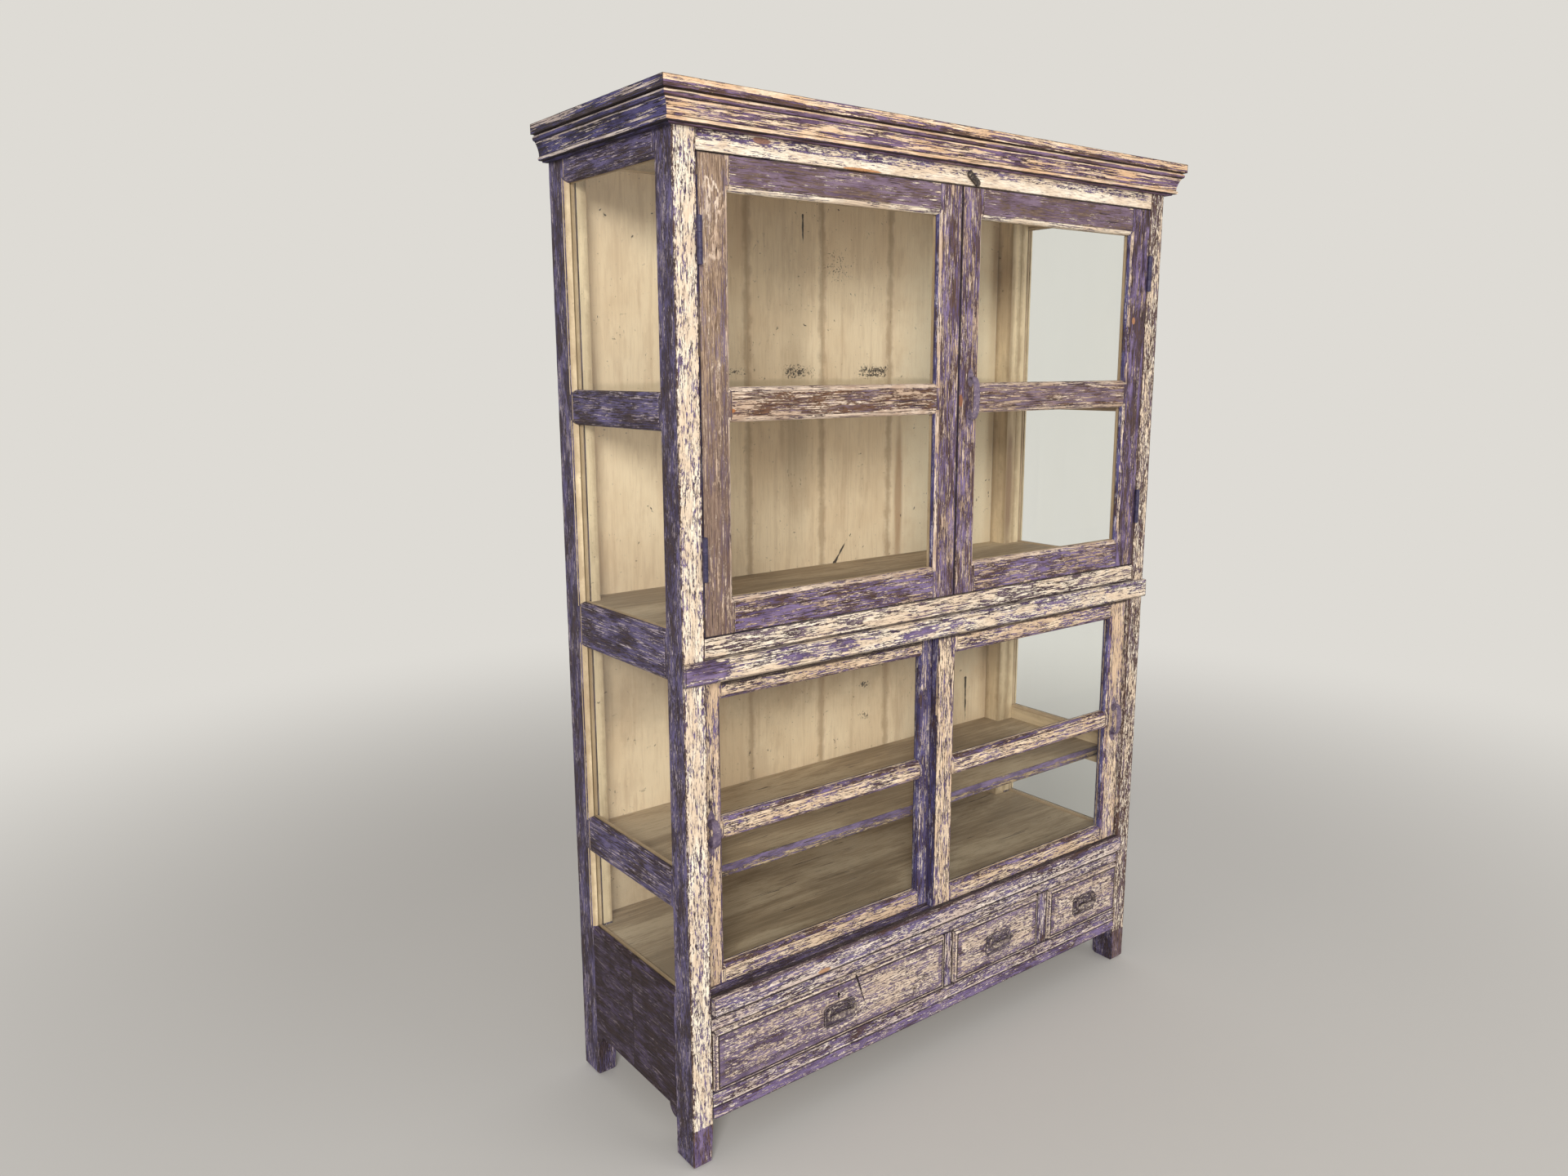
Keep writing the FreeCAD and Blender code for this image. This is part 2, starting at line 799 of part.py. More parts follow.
def back_boards():
    """Upright planks, bevelled outside where they meet, in the rebates of the back posts."""
    x0 = -(opening_half + back_rebate)
    pitch = 2 * (opening_half + back_rebate) / back_plank_count
    planks = []
    for i in range(back_plank_count):
        left = x0 + i * pitch
        right = left + pitch
        bevel = back_plank_bevel
        face = outline(Vector(left, back_face, foot_height),
                       Vector(left, cabinet_depth - bevel, foot_height),
                       Vector(left + bevel, cabinet_depth, foot_height),
                       Vector(right - bevel, cabinet_depth, foot_height),
                       Vector(right, cabinet_depth - bevel, foot_height),
                       Vector(right, back_face, foot_height))
        planks.append(face.extrude(Z_AXIS * (board_z0 - foot_height)))
    return planks


def back_rebate_cut():
    """Rebate along the left back post that takes the edge plank."""
    x0 = -(opening_half + back_rebate)
    return box(x0, -opening_half + overrun, back_face, cabinet_depth + overrun,
               foot_height, board_z0)


def upright_notches():
    """Outlines of the posts and the corner batten, to be cut from the shelves."""
    left = [box(-half_width, -opening_half, y, y + post_depth, 0, board_z0)
            for y in (0, cabinet_depth - post_depth)]
    return left + [mirror(notch) for notch in left] + [corner_batten()]


def shelf(front, low, thickness, notches):
    """Board from side to side, notched round the uprights."""
    board = box(-inner_half, inner_half, front, back_face, low, low + thickness)
    return board.cut(notches)


def bearers(low):
    """Strips on both sides under a shelf whose underside is at low."""
    left = box(-inner_half, -inner_half + bearer_width, post_depth,
               cabinet_depth - post_depth, low - bearer_height, low)
    return [left, mirror(left)]


def inner_battens():
    """Shelf bearers, and the rails that the back planks are nailed to."""
    levels = (upper_shelf_centre() - shelf_thickness / 2,
              door_z0 + waist_floor_rise - floor_thickness,
              low_shelf_centre() - low_shelf_thickness / 2,
              slider_z0 - floor_thickness)
    pieces = [piece for low in levels for piece in bearers(low)]
    near = back_face - back_rail_thickness
    for low in (board_z0 - back_rail_height, foot_height):
        pieces.append(box(-opening_half, opening_half, near, back_face, low, low + back_rail_height))
    return pieces + [corner_batten()]


def corner_batten():
    """Upright strip beside the right back post, from the lower floor to the top rail."""
    return box(opening_half - corner_batten_width, opening_half, cabinet_depth - post_depth,
               back_face, slider_z0, board_z0 - back_rail_height)


# Drawers

def drawer_bays():
    """Left and right edge of each drawer opening."""
    edges = [-opening_half]
    for centre, width in zip(divider_centres, divider_widths):
        edges += [centre - width / 2, centre + width / 2]
    edges.append(opening_half)
    return list(zip(edges[0::2], edges[1::2]))


def drawer_front_blank(x0, x1, z0, z1):
    """Front board with a quarter-round moulding on all four edges of its face."""
    face_y = -drawer_front_proud
    back_y = face_y + drawer_front_thickness
    reach = drawer_front_moulding
    drop = face_y + reach

    def profile(low, high, point):
        middle_y = (drop + face_y) / 2 - drawer_front_swell
        middle_in = reach / 2 - drawer_front_swell
        return outline(point(low, back_y), point(low, drop),
                       (point(low + middle_in, middle_y), point(low + reach, face_y)),
                       point(high - reach, face_y),
                       (point(high - middle_in, middle_y), point(high, drop)),
                       point(high, back_y))

    across = profile(x0, x1, lambda a, y: Vector(a, y, z0)).extrude(Z_AXIS * (z1 - z0))
    upright = profile(z0, z1, lambda a, y: Vector(x0, y, a)).extrude(X_AXIS * (x1 - x0))
    return across.common(upright)


def dovetails(x0, thickness, near, z0, z1):
    """Tails at the front end of a drawer side, pointing towards the front."""
    pitch = (z1 - z0) / dovetail_count
    tip = pitch * dovetail_fill_share / 2
    root = tip - dovetail_depth * dovetail_slope_share
    tails = []
    for i in range(dovetail_count):
        centre = z0 + (i + 1 / 2) * pitch
        face = outline(Vector(x0, near, centre - root), Vector(x0, near - dovetail_depth, centre - tip),
                       Vector(x0, near - dovetail_depth, centre + tip),
                       Vector(x0, near, centre + root))
        tails.append(face.extrude(X_AXIS * thickness))
    return tails


def drawer(x0, x1):
    """Front with dovetail sockets, and the box behind it: sides, back and bottom."""
    left, right = x0 + drawer_gap, x1 - drawer_gap
    low, high = drawer_z0 + drawer_gap, drawer_z1 - drawer_gap
    near = drawer_front_thickness - drawer_front_proud
    far = near + drawer_depth
    side_high = high - drawer_side_drop
    thick = drawer_side_thickness
    inner0, inner1 = left + thick, right - thick
    groove = drawer_bottom_groove
    bottom_z = low + drawer_bottom_rise
    bottom = box(inner0 - groove, inner1 + groove, near - groove, far,
                 bottom_z, bottom_z + drawer_bottom_thickness)
    front = drawer_front_blank(left, right, low, high)
    sides, tails = [], []
    for x in (left, inner1):
        side_tails = dovetails(x, thick, near, low, side_high)
        side = box(x, x + thick, near, far, low, side_high)
        sides.append(side.multiFuse(side_tails).removeSplitter().cut(bottom))
        tails += side_tails
    front = front.cut(tails).cut(bottom)
    back = box(inner0, inner1, far - drawer_back_thickness, far,
               bottom_z + drawer_bottom_thickness, side_high)
    return front, sides + [back, bottom]


def dividers_and_guides():
    """Short uprights between the drawers, partitions behind them, guides and runners."""
    uprights, guides = [], []
    for centre, width in zip(divider_centres, divider_widths):
        uprights.append(box(centre - width / 2, centre + width / 2, 0, divider_depth,
                            drawer_z0, drawer_z1))
        guides.append(partition(centre))
    walls = [-inner_half]
    for centre in divider_centres:
        walls += [centre - partition_thickness / 2, centre + partition_thickness / 2]
    walls.append(inner_half)
    for (x0, x1), wall0, wall1 in zip(drawer_bays(), walls[0::2], walls[1::2]):
        guides += runner(wall0, x0 + drawer_gap, 1)
        guides += runner(wall1, x1 - drawer_gap, -1)
    return uprights, guides


def partition(centre):
    """Board behind a divider, notched under the sill, up to the lower floor."""
    top = slider_z0 - floor_thickness

    def point(y, z):
        return Vector(centre - partition_thickness / 2, y, z)

    face = outline(point(divider_depth, drawer_z0), point(divider_depth, drawer_z1),
                   point(post_depth, drawer_z1), point(post_depth, top),
                   point(back_face, top), point(back_face, drawer_z0))
    return face.extrude(X_AXIS * partition_thickness)


def runner(wall_x, drawer_x, inward):
    """Ledge under a drawer's side, and the guide beside the drawer on top of it."""
    outer = abs(wall_x) > inner_half - tiny
    near = post_depth if outer else rail_thickness
    far = cabinet_depth - post_depth if outer else back_face - back_rail_thickness
    guide_x = drawer_x - inward * runner_gap
    ledge_x = drawer_x + inward * runner_ledge
    ledge_z = drawer_z0 + drawer_gap - runner_gap

    def strip(x, z0, z1):
        return box(min(wall_x, x), max(wall_x, x), near, far, z0, z1)

    return [strip(ledge_x, ledge_z - runner_height, ledge_z),
            strip(guide_x, ledge_z, ledge_z + guide_height)]


# Drawer lock

def lock_centre():
    x0, x1 = drawer_bays()[0]
    return (x0 + x1) / 2


def lock_top():
    return drawer_z1 - drawer_gap


def bolt_place():
    """Centre along X, and front and rear face, of the lock bolt."""
    back_y = drawer_front_thickness - drawer_front_proud
    middle = back_y - lock_thickness / 2
    return lock_centre(), middle - bolt_thickness / 2, middle + bolt_thickness / 2


def lock_block():
    """Outer shape of the lock case, let into the back of the drawer front."""
    centre = lock_centre()
    back_y = drawer_front_thickness - drawer_front_proud
    top = lock_top()
    return box(centre - lock_width / 2, centre + lock_width / 2, back_y - lock_thickness, back_y,
               top - lock_height, top)


def lock_case():
    """Case with a channel for the bolt and a keyhole through its front plate."""
    centre, y0, y1 = bolt_place()
    play = bolt_play
    half = bolt_width / 2 + play
    channel = box(centre - half, centre + half, y0 - play, y1 + play,
                  lock_top() - lock_height + lock_wall, lock_top() + overrun)
    return lock_block().cut(channel).cut(keyhole_void())


def keyhole_void():
    """Round hole with a slot below, from the drawer's face into the bolt's channel."""
    centre, y0, y1 = bolt_place()
    near = -drawer_front_proud - overrun
    hole_z = keyhole_level()
    hole = cylinder(keyhole_radius, Vector(centre, near, hole_z), Vector(centre, y0, hole_z))
    half = keyhole_slot / 2
    return hole.fuse(box(centre - half, centre + half, near, y0, hole_z - keyhole_drop, hole_z))


def keyhole_level():
    return lock_top() - bolt_length - 2 * keyhole_radius


def lock_bolt():
    centre, y0, y1 = bolt_place()
    top = lock_top() - bolt_play
    return box(centre - bolt_width / 2, centre + bolt_width / 2, y0, y1, top - bolt_length, top)


# Drawer pulls

def pull_place(x0, x1):
    """Centre of a drawer pull on the drawer's face."""
    middle_z = (drawer_z0 + drawer_z1) / 2
    return Vector((x0 + x1) / 2, -drawer_front_proud, middle_z - plate_height / 2 + bail_drop)


def clipped_plate(centre, width, height, corner, y0, y1):
    """Plate in the XZ plane with clipped corners."""
    plate = box(centre.x - width / 2, centre.x + width / 2, y0, y1,
                centre.z - height / 2, centre.z + height / 2)
    upright = [edge for edge in plate.Edges if edge.BoundBox.YLength > (y1 - y0) / 2]
    return plate.makeChamfer(corner, upright)


def drawer_plate(centre):
    """Backplate with a raised rim and two ears for the handle's pins."""
    face = centre.y - plate_thickness
    plate = clipped_plate(centre, plate_width, plate_height, plate_corner, face - plate_lip, centre.y)
    inset = 2 * plate_lip_width
    half_wide = (plate_width - inset) / 2
    half_high = (plate_height - inset) / 2
    plate = plate.cut(box(centre.x - half_wide, centre.x + half_wide,
                          face - plate_lip - overrun, face,
                          centre.z - half_high, centre.z + half_high))
    pivot_y = face - bail_standoff
    pivot_z = centre.z + bail_pivot_rise
    for side in (-1, 1):
        x = centre.x + side * ear_centre_x
        x0, x1 = x - ear_length / 2, x + ear_length / 2
        ear = prism(ear_radius, Vector(x0, pivot_y, pivot_z), Vector(x1, pivot_y, pivot_z), Y_AXIS)
        foot = box(x0, x1, pivot_y, face, pivot_z - ear_radius, pivot_z + ear_radius)
        plate = plate.fuse(ear.fuse(foot).removeSplitter())
    reach = ear_centre_x + ear_length
    bore = cylinder(bail_pin_radius + bail_pin_gap,
                    Vector(centre.x - reach, pivot_y, pivot_z),
                    Vector(centre.x + reach, pivot_y, pivot_z))
    return plate.cut(bore)


def bail(centre):
    """Drop handle: a swelling grip, two arms and the pins that turn in the ears."""
    pivot_y = centre.y - plate_thickness - bail_standoff
    pivot_z = centre.z + bail_pivot_rise
    grip_z = pivot_z - bail_drop
    reach = bail_arm_x + bail_arm_width / 2
    parts = [grip(centre.x - reach, centre.x + reach, pivot_y, grip_z)]
    for side in (-1, 1):
        x = centre.x + side * bail_arm_x
        x0, x1 = x - bail_arm_width / 2, x + bail_arm_width / 2
        pin_end = centre.x + side * (ear_centre_x - ear_length / 2)
        parts.append(box(x0, x1, pivot_y - bail_arm_radius, pivot_y + bail_arm_radius,
                         grip_z, pivot_z + bail_arm_radius))
        parts.append(cylinder(bail_pin_radius, Vector(x, pivot_y, pivot_z),
                              Vector(pin_end, pivot_y, pivot_z)))
    return parts[0].multiFuse(parts[1:]).removeSplitter()


def grip(x0, x1, y, z):
    """Spindle worked to many flats, thickest in the middle."""
    step = (x1 - x0) / (len(grip_radii) - 1)
    centres = [Vector(x0 + i * step, y, z) for i in range(len(grip_radii))]
    return tapered(centres, grip_radii, Y_AXIS)


# Upright pulls

def leaf(centre, tip_up):
    """Pointed leaf-shaped plate whose point is away from the grip."""
    right, left = [], []
    for along_share, across_share in leaf_shape_shares:
        z = centre.z + tip_up * along_share * leaf_length
        across = across_share * leaf_width
        right.append(Vector(centre.x + across, centre.y, z))
        left.append(Vector(centre.x - across, centre.y, z))
    return outline(right[0], *right[1:], *reversed(left)).extrude(-Y_AXIS * leaf_thickness)


def bow_line(start, span, reach):
    """Points of an arch that leaves start along Z and stands out towards the front."""
    points = []
    for i in range(pull_bends + 1):
        turn = math.pi * i / pull_bends
        points.append(start + Vector(0, -reach * math.sin(turn),
                                     span * (1 - math.cos(turn)) / 2))
    return points


def bow_pull(x, y, z, length):
    """Bowed strap on two leaf plates, fixed to a face at y, centred at x and z."""
    foot_z = length / 2 - leaf_length / 2
    leaves = [leaf(Vector(x, y, z + side * foot_z), side) for side in (-1, 1)]
    low = Vector(x - pull_strap_width / 2, y - leaf_thickness / 2, z - foot_z)
    strap = Z_AXIS * pull_strap
    outer = bow_line(low - strap, 2 * (foot_z + pull_strap), pull_reach)
    inner = bow_line(low + strap, 2 * (foot_z - pull_strap), pull_reach - pull_strap)
    bow = outline(outer[0], *outer[1:], *reversed(inner)).extrude(X_AXIS * pull_strap_width)
    return bow.multiFuse(leaves).removeSplitter()


# Turn button

def button_place():
    return Vector(button_x, 0, door_z1 + button_rise)


def turn_button():
    """Oblong button at rest just clear of the doors, with a boss against the frieze."""
    centre = button_place()
    back_y = -(button_clearance + button_boss)
    front_y = back_y - button_thickness
    straight = button_length / 2 - button_width / 2
    half = button_width / 2
    corners = []
    for i in range(button_bends + 1):
        turn = math.pi * i / button_bends
        corners.append(Vector(centre.x + half * math.cos(turn), front_y,
                              centre.z + straight + half * math.sin(turn)))
    corners += [Vector(2 * centre.x - corner.x, front_y, 2 * centre.z - corner.z)
                for corner in corners]
    body = outline(corners[0], *corners[1:]).extrude(Y_AXIS * button_thickness)
    boss = prism(button_boss_radius, Vector(centre.x, back_y, centre.z),
                 Vector(centre.x, -button_clearance, centre.z), X_AXIS)
    bore = cylinder(screw_radius + screw_play, Vector(centre.x, front_y - overrun, centre.z),
                    Vector(centre.x, overrun, centre.z))
    body = body.fuse(boss).cut(bore)
    body.rotate(centre, Y_AXIS, -button_tilt)
    return body


def button_screw():
    """Slotted screw with a coned head, whose shank goes through the button into the frieze."""
    centre = button_place()
    head_y = -(button_clearance + button_boss + button_thickness + button_clearance)
    crown_y = head_y - screw_head_height
    head = tapered((Vector(centre.x, crown_y, centre.z), Vector(centre.x, head_y, centre.z)),
                   (screw_crown_radius, screw_head_radius), X_AXIS)
    slot = box(centre.x - screw_head_radius, centre.x + screw_head_radius,
               crown_y, crown_y + screw_slot,
               centre.z - screw_slot / 2, centre.z + screw_slot / 2)
    return head.cut(slot).fuse(button_shank()).removeSplitter()


def button_shank():
    centre = button_place()
    head_y = -(button_clearance + button_boss + button_thickness + button_clearance)
    return cylinder(screw_radius, Vector(centre.x, head_y, centre.z),
                    Vector(centre.x, screw_length, centre.z))


# Assembly

def build_carcass():
    side = left_side()
    rails, front_tenons = front_rails()
    recesses = [leaf_recess(-opening_half, -1, z0) for z0 in hinge_levels()]
    front_post = post_blank(-half_width, 0, 1)
    back_post = post_blank(-half_width, cabinet_depth - post_depth, 1)
    front_post = front_post.cut(side["cutters"] + front_tenons + recesses)
    back_post = back_post.cut(side["cutters"] + [back_rebate_cut()])
    save("front_left_post", front_post)
    save("front_right_post", mirror(front_post))
    save("back_posts", back_post, mirror(back_post))
    for name, node in (("rails", "side_rails"), ("panel", "side_panels"),
                       ("glass", "side_glass"), ("beads", "side_glazing_beads")):
        save(node, *side[name], *[mirror(shape) for shape in side[name]])
    rails["frieze_rail"] = rails["frieze_rail"].cut(button_shank())
    for name, rail in rails.items():
        save(name, rail)
    save("cornice", *cornice())
    save("top_board", box(-half_width, half_width, 0, cabinet_depth,
                          board_z0, cabinet_height))
    save("waist_moulding", waist_moulding())
    save("sill_moulding", sill_moulding())
    save("back_boards", *back_boards())
    save("inner_battens", *inner_battens())
    notches = upright_notches()
    save("upper_shelf", shelf(upper_shelf_setback, upper_shelf_centre() - shelf_thickness / 2,
                              shelf_thickness, notches))
    save("waist_floor", shelf(rail_thickness, door_z0 + waist_floor_rise - floor_thickness,
                              floor_thickness, notches))
    save("lower_shelf", shelf(low_shelf_setback, low_shelf_centre() - low_shelf_thickness / 2,
                              low_shelf_thickness, notches))
    save("lower_floor", shelf(post_depth, slider_z0 - floor_thickness, floor_thickness, notches))
    uprights, guides = dividers_and_guides()
    save("drawer_dividers", *uprights)
    save("drawer_guides", *guides)
    frame_leaves, door_leaves, pins = left_hinges()
    save("hinge_frame_leaves", *frame_leaves, *[mirror(leaf) for leaf in frame_leaves])
    save("hinge_pins", *pins, *[mirror(pin) for pin in pins])
    save("turn_button_screw", button_screw())
    save("turn_button", turn_button())


def build_doors():
    frame_leaves, door_leaves, pins = left_hinges()
    levels = door_rail_levels()
    left = sash(-opening_half + door_gap, meeting_x - meeting_gap / 2, 0, door_thickness,
                door_hinge_stile, door_meeting_stile, levels, False)
    right = sash(meeting_x + meeting_gap / 2, opening_half - door_gap, 0, door_thickness,
                 door_meeting_stile, door_hinge_stile, levels, False)
    recess = [leaf_recess(-opening_half + door_gap, 1, z0) for z0 in hinge_levels()]
    left["stiles"][0] = left["stiles"][0].cut(recess)
    right["stiles"][1] = right["stiles"][1].cut([mirror(cut) for cut in recess])
    for name, door, leaves in (("left_door", left, door_leaves),
                               ("right_door", right, [mirror(leaf) for leaf in door_leaves])):
        save(name + "_stiles", *door["stiles"])
        save(name + "_rails", *door["rails"])
        save(name + "_glass", *door["glass"])
        save(name + "_glazing_beads", *door["beads"])
        save(name + "_hinge_leaves", *leaves)
    save("right_door_pull", bow_pull(meeting_x + door_pull_from_meeting, 0,
                                     upper_shelf_centre(), door_pull_length))


def build_sliders():
    levels = slider_rail_levels()
    half_lap = slider_overlap / 2
    left_x = (-opening_half + slider_side_gap, slider_meeting_x + half_lap)
    right_x = (slider_meeting_x - half_lap, opening_half - slider_side_gap)
    pull_z = (levels[1][0] + levels[1][1]) / 2
    for name, (x0, x1), y0, pull_x, length in (
            ("left_slider", left_x, rear_slider_y, left_x[0] + slider_stile / 2, left_pull_length),
            ("right_slider", right_x, front_slider_y, right_x[1] - slider_stile / 2,
             right_pull_length)):
        frame = sash(x0, x1, y0, slider_thickness, slider_stile, slider_stile, levels, True)
        save(name + "_stiles", *frame["stiles"])
        save(name + "_rails", *frame["rails"])
        save(name + "_glass", *frame["glass"])
        save(name + "_pull", bow_pull(pull_x, y0, pull_z, length))


def build_drawers():
    for number, (x0, x1) in enumerate(drawer_bays(), 1):
        front, pieces = drawer(x0, x1)
        if number == 1:
            front = front.cut(lock_block()).cut(keyhole_void())
            save("drawer_1_lock_case", lock_case())
            save("drawer_1_lock_bolt", lock_bolt())
        save(f"drawer_{number}_front", front)
        save(f"drawer_{number}_box", *pieces)
        centre = pull_place(x0, x1)
        save(f"drawer_{number}_plate", drawer_plate(centre))
        save(f"drawer_{number}_bail", bail(centre))


os.makedirs("parts", exist_ok=True)
build_carcass()
build_doors()
build_sliders()
build_drawers()
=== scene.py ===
"""Looks of the glazed display cabinet: worn layered paint on wood, glass and old iron."""
import json
import math
from itertools import product

import bmesh
import bpy
import numpy as np
from mathutils import Matrix, Vector

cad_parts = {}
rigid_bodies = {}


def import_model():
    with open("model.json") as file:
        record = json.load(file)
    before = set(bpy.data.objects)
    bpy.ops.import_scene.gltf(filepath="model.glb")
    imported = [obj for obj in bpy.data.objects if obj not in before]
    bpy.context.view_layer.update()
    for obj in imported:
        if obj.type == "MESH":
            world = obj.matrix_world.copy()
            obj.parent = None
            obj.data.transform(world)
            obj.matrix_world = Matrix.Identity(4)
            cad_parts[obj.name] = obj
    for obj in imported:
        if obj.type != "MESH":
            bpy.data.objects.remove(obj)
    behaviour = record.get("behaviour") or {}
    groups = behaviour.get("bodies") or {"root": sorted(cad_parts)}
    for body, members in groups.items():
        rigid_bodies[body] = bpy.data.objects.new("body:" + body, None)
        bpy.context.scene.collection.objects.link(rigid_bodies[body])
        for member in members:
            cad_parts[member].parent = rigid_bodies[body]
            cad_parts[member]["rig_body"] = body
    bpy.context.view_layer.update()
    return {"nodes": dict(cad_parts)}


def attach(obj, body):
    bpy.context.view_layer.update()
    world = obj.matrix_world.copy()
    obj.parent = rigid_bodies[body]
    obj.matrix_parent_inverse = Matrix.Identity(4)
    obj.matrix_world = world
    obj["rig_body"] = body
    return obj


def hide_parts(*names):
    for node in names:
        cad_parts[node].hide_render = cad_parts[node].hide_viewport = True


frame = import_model()
nodes = frame["nodes"]

# Places that decide between looks, in metres
FRONT_Y = -0.203
BACK_Y = 0.225
DRAWER_FACE_Y = -0.196
POST_INSIDE_Y = -0.17
OUTER_SLIDER_Y = -0.17
MEETING_XS = (-0.08, 0.0)
LOW_FLOOR_Z = 0.35
FOOT_Z = 0.1
TOP_RAIL_Z = 1.7
LOW_RAIL_Z = 1.2
OUTER_STILE_X = 0.3
LONG_STRIP = 0.6
ARRIS_DEPTH = 0.003
REBATE_DEPTH = 0.011
FRAME_DEPTH = 0.03

# Dressing of the wooden pieces, lengths in metres
WELD = 1e-6
FLAT_ANGLE = math.radians(0.6)
ARRIS_ANGLE = math.radians(28)
SMOOTH_ANGLE = math.radians(62)
RING_STEP = 0.012
LEAST_FOR_RINGS = 0.06
WEAR_REACH = 0.0035
WEAR_WAVE = 0.028
SLANTED = 0.985

# Camera, solved from the picture
CAMERA_AT = (-1.6832, -1.8347, 1.5089)
CAMERA_YAW = math.radians(37.318)
CAMERA_PITCH = math.radians(-10.97)
CAMERA_ROLL = math.radians(-0.276)
CAMERA_LENS = 26.01
SENSOR_WIDTH = 36.0


def srgb(*parts):
    """Linear colour of 0 to 255 display values."""
    out = []
    for part in parts:
        share = part / 255
        out.append(share / 12.92 if share <= 0.04045 else ((share + 0.055) / 1.055) ** 2.4)
    return tuple(out) + (1.0,)


WHITE = (1.0, 1.0, 1.0, 1.0)
BACKDROP = srgb(222, 219, 213)
FLOOR = srgb(206, 202, 196)


def added(name, data):
    """New object with this data, in the scene."""
    made = bpy.data.objects.new(name, data)
    bpy.context.scene.collection.objects.link(made)
    return made


# Materials

class Value:
    """Output of a node; sums and products with it make further nodes."""

    def __init__(self, net, socket):
        self.net = net
        self.socket = socket

    def combined(self, operation, other):
        make = self.net.vector if self.socket.type == "VECTOR" else self.net.math
        return make(operation, self, other)

    def __add__(self, other):
        return self.combined("ADD", other)

    def __sub__(self, other):
        return self.combined("SUBTRACT", other)

    def __mul__(self, other):
        return self.combined("MULTIPLY", other)


class Net:
    """Small helper that builds the node tree of a material or a world."""

    def __init__(self, name, blocks=bpy.data.materials):
        self.block = blocks.new(name)
        self.block.use_nodes = True
        self.tree = self.block.node_tree
        self.tree.nodes.clear()

    def made(self, kind, inputs, output=0, **settings):
        """Output of a new node, its inputs given by number or name."""
        node = self.tree.nodes.new("ShaderNode" + kind)
        for key, value in settings.items():
            setattr(node, key, value)
        for key, value in inputs.items():
            if isinstance(value, Value):
                self.tree.links.new(value.socket, node.inputs[key])
            else:
                node.inputs[key].default_value = value
        return Value(self, node.outputs[output])

    def math(self, operation, a, b=0.0, clamp=False):
        return self.made("Math", {0: a, 1: b}, operation=operation, use_clamp=clamp)

    def vector(self, operation, a, b=(0.0, 0.0, 0.0), c=(0.0, 0.0, 0.0)):
        output = 1 if operation in ("LENGTH", "DOT_PRODUCT") else 0
        return self.made("VectorMath", {0: a, 1: b, 2: c}, output, operation=operation)

    def scaled(self, a, factor):
        return self.made("VectorMath", {0: a, 3: factor}, operation="SCALE")

    def split(self, a):
        outputs = self.made("SeparateXYZ", {0: a}).socket.node.outputs
        return [Value(self, output) for output in outputs]

    def most(self, first, *others):
        """The largest of some values."""
        for other in others:
            first = self.math("MAXIMUM", first, other)
        return first

    def step(self, value, low, high, to_low=0.0, to_high=1.0):
        inputs = dict(enumerate((value, low, high, to_low, to_high)))
        return self.made("MapRange", inputs, interpolation_type="SMOOTHSTEP")

    def noise(self, place, scale, detail, rough, warp=0.0):
        return self.made("TexNoise", {"Vector": place, "Scale": scale, "Detail": detail,
                                      "Roughness": rough, "Distortion": warp}, "Fac")

    def blend(self, share, a, b):
        """Mix of two colours, each from a node or a tone of 0 to 255."""
        a, b = (tone if isinstance(tone, Value) else srgb(*tone) for tone in (a, b))
        return self.made("Mix", {0: share, 6: a, 7: b}, 2, data_type="RGBA")

    def attribute(self, name, output="Vector"):
        return self.made("Attribute", {}, output, attribute_type="GEOMETRY", attribute_name=name)

    def place(self):
        return self.made("TexCoord", {}, "Object")

    def rays(self, *kinds):
        """1 for rays of these kinds."""
        return self.most(*[self.made("LightPath", {}, "Is %s Ray" % kind) for kind in kinds])

    def painted(self, colour, roughness, height, distance, strength, specular=0.35):
        """The material as one opaque surface with bumps of the given height."""
        normal = self.made("Bump", {"Strength": strength, "Distance": distance,
                                    "Height": height}, "Normal")
        return self.finish(self.made("BsdfPrincipled", {
            "Base Color": colour, "Roughness": roughness, "Specular IOR Level": specular,
            "Normal": normal}))

    def finish(self, shader, kind="Material"):
        out = self.tree.nodes.new("ShaderNodeOutput" + kind)
        self.tree.links.new(shader.socket, out.inputs["Surface"])
        return self.block


def grain_space(net):
    """Object coordinates, the same moved for each board, and drawn out along its grain."""
    place = net.place()
    moved = place + net.scaled(net.attribute("seed"), 3.7)
    return place, moved, moved * net.attribute("stretch")


def part_drawn(net, moved, share):
    """Coordinates drawn out along the grain by a share of the board's own stretch."""
    return moved * net.vector("MULTIPLY_ADD", net.attribute("stretch"), (share,) * 3,
                              (1 - share,) * 3)


def arris_distance(net, place):
    """Distance to the nearest long edge of the board, in metres."""
    x, y, z = net.split(net.vector("MINIMUM", place - net.attribute("low"),
                                   net.attribute("high") - place))
    return net.most(net.math("MINIMUM", x, y), net.math("MINIMUM", net.most(x, y), z))


def ragged(net, place):
    """Noise that makes the outlines of patches uneven."""
    return net.noise(place, 30.0, 6.0, 0.66)


def oval(net, place, wobble, centre, radii, soft):
    """Share of a ragged oval patch, its radii in metres."""
    squeezed = net.vector("DIVIDE", place - centre, radii)
    return net.step(net.vector("LENGTH", squeezed) + wobble * 0.9, 1.45 + soft, 1.45 - soft)


def slash(net, place, wobble, start, end, width):
    """Share of a tapering split from start to end, (x, z) in metres, on faces towards the front."""
    run = (end[0] - start[0], 0.0, end[1] - start[1])
    square = run[0] * run[0] + run[2] * run[2]
    offset = (place - (start[0], 0.0, start[1])) * (1.0, 0.0, 1.0)
    along = net.math("DIVIDE", net.vector("DOT_PRODUCT", offset, run), square, True)
    reach = net.vector("LENGTH", offset - net.scaled(run, along))
    bend = (wobble - 0.5) * (width * 3.0)
    taper = net.math("SUBTRACT", 1.15, along) * width
    return net.step(reach + bend - taper, 0.0003, -0.0003)


